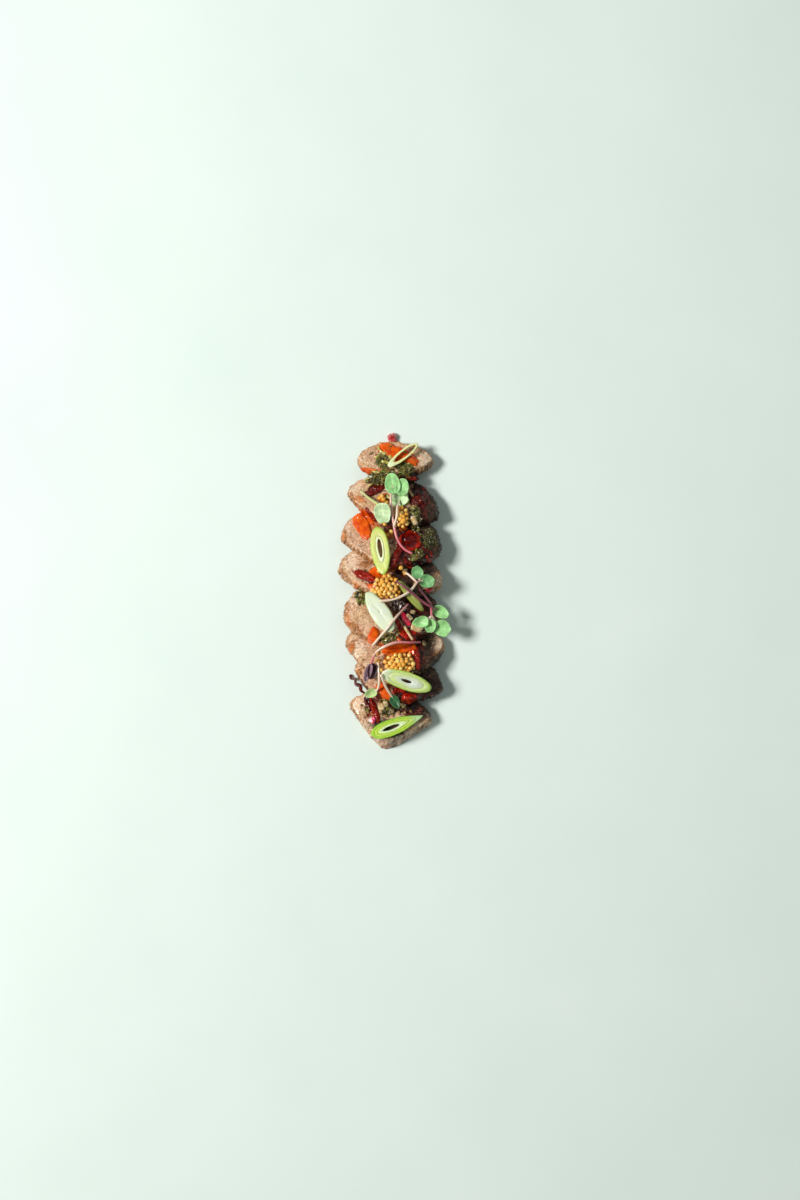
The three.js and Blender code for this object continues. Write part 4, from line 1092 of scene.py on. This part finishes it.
def onion_finish(node, spec):
    """Green skin, paler flesh and a white core, with fine lines along the layers and pores in the cut."""
    finish = Finish(f"cut_{node}")
    share, along = finish.field("share"), finish.field("along")
    pores = finish.clouds(0.35)
    cloudy = finish.clouds(3.5, detail=2)
    waves = {"Value": share * 44 + pores * 3 + cloudy * 8}
    lines = finish.node("ShaderNodeMath", {"operation": "SINE"}, waves, "Value")
    lines = lines * share.rise(0.05, 0.3) * (0.3 if node == "onion_3" else 1)
    colour = finish.coats(
        finish.mix((share + (cloudy - 0.5) * 0.3).rise(0.1, 0.5), spec["core"], spec["flesh"]),
        ((share + (cloudy - 0.5) * 0.2).rise(0.72, 0.98), spec["skin"]),
        ((lines - 0.2).rise(0.0, 0.9) * cloudy.rise(0.4, 0.6) * 0.2, (246, 250, 236)),
    )
    if node == "onion_1":
        tip, heart = (0 - along).rise(0.45, 0.8), (0.35 - share).rise(0.0, 0.3) * 0.6
        colour = finish.coats(colour, (tip, (226, 236, 190)), (heart, (196, 140, 60)))
    if node == "onion_2":
        yellowed = cloudy.rise(0.46, 0.62) * (0 - along).rise(-0.3, 0.9) * 0.6
        pale_spots = cloudy.rise(0.5, 0.6) * 0.4
        colour = finish.coats(colour, (yellowed, (190, 178, 84)), (pale_spots, (222, 234, 160)))
    if node == "onion_4":
        tip = (0 - along).rise(0.5, 0.9) * 0.85
        white = along.rise(-0.15, 0.3) * (1 - share.rise(0.4, 0.72)) * 0.85
        colour = finish.coats(colour, (tip, (244, 250, 226)), (white, (240, 247, 230)))
    if node == "onion_5":
        colour = finish.mix((along - 0.35).rise(0.0, 0.5) * 0.75, colour, (178, 204, 166))
    finish.surface(colour, 0.3 + 0.2 * pores, 0.35, 0.35, 0.08, (0.3, (0.8, 1.0, 0.4), 1.2))
    finish.relief(lines * 0.12 + pores + cloudy * 2, 0.16)
    return finish


for node, spec in ONION_SLICES.items():
    form = joined([onion_layer(spec, *layer) for layer in spec["layers"]])
    finished(form, f"cut_{node}", onion_finish(node, spec), "spring_onion", node)


# The sprouts: radish and cabbage sprouts laid on last. Each is one to three round or heart-shaped seed
# leaves, thin and satin green or purple, on smooth stalks that go from white through pink to purple.
# Two stalks lie loose, and a twisted strand of charred skin hangs off the left side.
STALK_RADIUS = 0.62
STRAND_RADIUS = 1.3
STRAND_TWIST = 4.0
LEAF_THICKNESS = 0.34
LEAF_COLOURS = {
    "young": (158, 216, 137), "pale": (205, 232, 178), "blue": (118, 178, 112), "deep": (54, 106, 62),
    "lime": (188, 212, 142), "purple": (64, 26, 38),
}
# A stem has its blush on the way, from green (below 0) and white (0) to purple (1), and its route in
# millimetres. A leaf has its middle, size, turn and notch, and some have a lean and a paler bloom.
SPROUTS = {
    "sprout_1": {
        "leaf": "young",
        "leaves": [
            ((-0.8, 58.9, 18.3), (12.3, 8.6), 100, 0.1),
            ((4.6, 57.0, 17.7), (10.2, 7.6), 82, 0.1, (-0.06, 0.05)),
            ((3.2, 50.6, 14.4), (11, 8.4), 12, 0.2, (0, 0), 1),
        ],
        "stems": [
            ((0.5, 0.55, 0.3, 0.2), (10.2, 19.7, 21.9), (5, 23, 21.4), (1.5, 29, 20.8), (-0.4, 38.5, 19.9),
             (-1.8, 51, 18.8), (-0.6, 58, 18.3)),
            ((0.3, 0.2), (-1.8, 53, 18.8), (0.5, 54.6, 17.8), (3, 56.2, 17.2)),
            ((0.1, 0), (0.1, 35, 20.4), (1.6, 40.5, 22.1), (2, 46, 19.2), (3.5, 50, 14.2)),
        ],
    },
    "sprout_2": {
        "leaf": "pale",
        "leaves": [((-6.3, 42, 21.4), (12.6, 9), -80, 0.3)],
        "stems": [((-0.3, -0.4), (-18.4, 55, 10.5), (-14, 51, 15.4), (-9, 47.5, 19.4), (-6.8, 45, 21.4))],
    },
    "sprout_3": {
        "leaf": "blue",
        "leaves": [((13, 9.4, 20.4), (7.6, 6.6), 115, 0.15), ((18.6, 4.4, 19.9), (9, 7), -10, 0.2)],
        "stems": [
            ((0.15, 0), (-7.8, -6.6, 25.8), (-1.6, -6, 25.3), (4.3, -4, 24.7), (9.5, -0.5, 24),
             (12, 2.6, 22.3), (13.5, 4.4, 21.3), (16.4, 4.8, 19.9)),
            ((0, -0.2), (14, 4.8, 21.3), (14.4, 6.2, 20.8), (13.8, 7.7, 20.4)),
        ],
    },
    "sprout_4": {
        "leaf": "young",
        "leaves": [
            ((15.3, -18.2, 20), (8.8, 6.4), 190, -0.12),
            ((20.2, -20.5, 18.7), (8, 6.4), -90, 0.15),
            ((27.2, -22, 16.4), (10.4, 9), -40, 0.25),
        ],
        "stems": [
            ((1.0, 0.8, 0.3), (13.5, 0.7, 19.9), (17.4, -4, 19.5), (20.5, -9, 19.2), (21, -15, 18.8),
             (20.8, -18, 18.7)),
            ((0.1, 0), (21, -15, 18.9), (18.1, -18, 20)),
            ((0.2, 0), (21, -15, 18.9), (23.4, -18.9, 17.2), (25.2, -20.3, 16.4)),
        ],
    },
    "sprout_8": {
        "leaf": "young",
        "leaves": [((26.2, -12.8, 16.4), (9.8, 6.4), -30, 0.1)],
        "stems": [
            ((0.9, 0.8), (1.6, 4.3, 22.7), (4, 2.5, 25.8), (9, -1.3, 25.8), (16, -7, 22.8),
             (21.3, -10.3, 20.8), (24.1, -11.6, 16.4)),
        ],
    },
    "sprout_5": {
        "leaf": "purple", "fold": 0.45,
        "leaves": [
            ((-14.4, -46.4, 20.6), (10.6, 4.4), 252, 0.1, (0.5, 0), 1),
            ((-12, -45.6, 20.2), (9.6, 6.8), 258, 0.1, (-0.3, 0)),
        ],
        "stems": [
            ((0.55, 0.5, 0.15, 0.9), (14.6, -29.6, 15.6), (11.4, -29.6, 20.6), (8, -29.6, 23.2),
             (1.7, -29.5, 24.5), (-4.5, -31.5, 24.2), (-9.8, -35, 22.8), (-12.2, -40, 21.5),
             (-12.4, -44, 20.5)),
        ],
    },
    "sprout_6": {
        "leaf": "lime", "fold": 0.3,
        "leaves": [((-12.8, -58.1, 16.6), (7.4, 5.6), 200, 0.05)],
        "stems": [
            ((0.15, -0.2), (-8.9, -40.8, 20.4), (-8.3, -47, 21.5), (-8.3, -53, 20.6), (-9.3, -56, 18.4),
             (-11.5, -58, 16)),
        ],
    },
    "sprout_7": {
        "leaf": "deep", "fold": 0.4,
        "leaves": [((0.6, -62.6, 19.2), (8, 6), -60, 0)],
        "stems": [((0.15, 0.1), (-7, -47.2, 28.6), (-5, -53, 25.3), (-2, -58.3, 21.2), (-0.4, -61, 19.2))],
    },
    "stem_1": {
        "stems": [
            ((0, 0.1, 0.5), (-11.7, -31.2, 21.8), (-7.3, -26, 26.5), (-3, -21, 28.9), (1, -15.8, 26.6),
             (5.6, -10.8, 20.9), (8, -8.3, 18)),
        ],
    },
    "stem_2": {"stems": [((0, 0.35), (6.8, 9.1, 19.9), (10.2, 6.4, 22), (13.2, 3.2, 23.8))]},
    "stem_3": {
        "stems": [
            ((1, 0.9), (-24.7, -48.5, 0.9), (-24.2, -50.3, 2.4), (-22, -51, 5.2), (-21.5, -53.4, 8.8),
             (-19, -54.3, 12.9), (-18.4, -56.7, 15.7), (-16.4, -58, 18)),
        ],
    },
}


def leaf_blade(form, fields, fold, middle, size, turn, notch, lean=(0, 0), bloom=0):
    """A round or heart-shaped blade: a disc with a notch in its tip, cupped, creased along its rib, waved."""
    turned = Matrix.Rotation(math.radians(turn), 2)
    for vert in bmesh.ops.create_grid(form, x_segments=26, y_segments=26, size=1)["verts"]:
        x, y = vert.co.xy
        disc, share = on_disc(x, y)
        angle = math.atan2(disc.y, disc.x)
        heart = 1 - notch * math.exp(-((angle / 0.4) ** 2)) + 0.05 * math.cos(3 * angle)
        rib = abs(disc.y)
        veins = min(1.0, *[abs(disc.x - lead - 0.7 * rib) / 0.1 for lead in (-0.35, 0.05, 0.45)])
        vert[fields["rib"]] = math.exp(-((rib / 0.05) ** 2))
        vert[fields["vein"]] = math.exp(-(veins**2)) * max(0.0, 1 - share) ** 0.3
        vert[fields["edge"]] = share
        vert[fields["bloom"]] = bloom
        disc *= heart * (1 + 0.03 * noise.noise(Vector((x * 2, y * 2, middle[0]))))
        flat = turned @ Vector((disc.x * size[0], disc.y * size[1] * (1 - 0.35 * fold))) * 0.5
        rise = 0.9 * share**2 + 0.5 * share * math.cos(2 * angle + 1)
        wave = 0.25 * noise.noise(Vector((x * 1.5, y * 1.5, middle[1])))
        rise += 0.35 * rib**0.7 * (1 + 6 * fold) - 0.15 + wave
        rise += lean[0] * flat.x + lean[1] * flat.y
        vert.co = Vector((middle[0] + flat.x, middle[1] + flat.y, middle[2] + rise)) * MM


def stalk(form, blush_field, blush, *route, radius=STALK_RADIUS, twist=0.0):
    """A tapering stalk: a ring drawn out along its smoothed route. A twisted one is flat and thins out."""
    bends = [Vector(point) * MM for point in route]
    points = bends[:1]
    for before, start, end, after in zip(bends[:1] + bends, bends, bends[1:], bends[2:] + bends[-1:]):
        handles = (start + (end - before) / 6, end - (after - start) / 6)
        points += geometry.interpolate_bezier(start, *handles, end, 5)[1:]
    ring = bmesh.ops.create_circle(form, segments=10, radius=1, cap_ends=True)["verts"]
    edges = list(dict.fromkeys(edge for vert in ring for edge in vert.link_edges))
    shape = [vert.co.copy() for vert in ring]
    for index, point in enumerate(points):
        ahead = (points[min(index + 1, len(points) - 1)] - points[max(index - 1, 0)]).normalized()
        side = ahead.cross(Vector((0, 0, 1))).normalized()
        above = side.cross(ahead)
        if index:
            drawn = bmesh.ops.extrude_edge_only(form, edges=edges)["geom"]
            edges = [part for part in drawn if isinstance(part, bmesh.types.BMEdge) and part.is_boundary]
            ring = [part for part in drawn if isinstance(part, bmesh.types.BMVert)]
        along = index / (len(points) - 1)
        stop = min(int(along * (len(blush) - 1)), len(blush) - 2)
        tone = blush[stop] + (along * (len(blush) - 1) - stop) * (blush[stop + 1] - blush[stop])
        thick = radius * (1 + 0.3 * (1 - along) - 0.12 * math.sin(along * 9))
        if twist:
            thick *= 0.35 + 0.65 * math.sin(math.pi * (0.06 + 0.86 * along))
        for vert, corner in zip(ring, shape):
            flat = Matrix.Rotation(twist * along, 2) @ Vector((corner.x, corner.y * (0.5 if twist else 1)))
            vert.co = point + (side * flat.x + above * flat.y) * thick * MM
            vert[blush_field] = tone
    bmesh.ops.contextual_create(form, geom=edges)


def leaf_finish(name, colour):
    """A satin leaf: mottled, with lighter veins, rib and edge. A bloomed leaf is paler."""
    finish = Finish(f"{name}_leaf")
    mottle = finish.clouds(2.4)
    pores = finish.clouds(0.35, detail=2)
    rib, vein = finish.field("rib"), finish.field("vein")
    lighter, lightest = ([min(255, c + more) for c in colour] for more in (26, 44))
    bloomed = (150, 122, 136) if name == "purple" else (206, 232, 184)
    tone = finish.coats(
        finish.mix(mottle.rise(0.36, 0.64), [c * 0.86 for c in colour], colour),
        (finish.field("bloom") * mottle.rise(0.3, 0.5), bloomed),
        (vein * 0.2, lighter),
        (rib * 0.35, lightest),
        (finish.field("edge").rise(0.88, 1.0) * 0.4, lighter),
    )
    finish.surface(tone, 0.38 + 0.12 * pores, flesh=(0.25, (0.6, 1.0, 0.3), 0.8))
    finish.relief(pores * 0.5 - rib - vein * 0.4, 0.1)
    return finish


blade_finishes = {name: leaf_finish(name, colour) for name, colour in LEAF_COLOURS.items()}
stalk_finish = Finish("sprout_stalk")
flush = stalk_finish.field("blush")
streak = stalk_finish.clouds((0.6, 0.6, 2.5))
stalk_colour = stalk_finish.coats(
    stalk_finish.mix((flush + (streak - 0.5) * 0.3).rise(0.1, 0.55), (228, 208, 184), (208, 106, 116)),
    ((flush + (streak - 0.5) * 0.2).rise(0.6, 0.95), (108, 58, 72)),
    ((0 - flush).rise(0.0, 0.5), (176, 190, 108)),
)
stalk_flesh = (0.3, (1.0, 0.6, 0.5), 0.8)
stalk_finish.surface(stalk_colour, 0.3, coat=0.25, coat_roughness=0.12, flesh=stalk_flesh)
stalk_finish.relief(streak, 0.1)

for node, sprout in SPROUTS.items():
    if "leaf" in sprout:
        blades = bmesh.new()
        fields = {name: blades.verts.layers.float.new(name) for name in ("rib", "vein", "edge", "bloom")}
        for leaf in sprout["leaves"]:
            leaf_blade(blades, fields, sprout.get("fold", 0), *leaf)
        bmesh.ops.recalc_face_normals(blades, faces=blades.faces)
        bmesh.ops.solidify(blades, geom=blades.faces[:], thickness=LEAF_THICKNESS * MM)
        slot = "leaf_purple" if sprout["leaf"] == "purple" else "leaf_green"
        finished(blades, f"{node}_leaves", blade_finishes[sprout["leaf"]], slot, node)
    stalks = bmesh.new()
    blush_field = stalks.verts.layers.float.new("blush")
    is_strand = node == "stem_3"
    strand = {"radius": STRAND_RADIUS, "twist": STRAND_TWIST} if is_strand else {}
    for stem in sprout["stems"]:
        stalk(stalks, blush_field, *stem, **strand)
    bmesh.ops.recalc_face_normals(stalks, faces=stalks.faces)
    if is_strand:
        finished(stalks, "charred_strand", pepper_finishes[0], "pepper", node)
    else:
        finished(stalks, f"{node}_stalks", stalk_finish, "stalk", node)
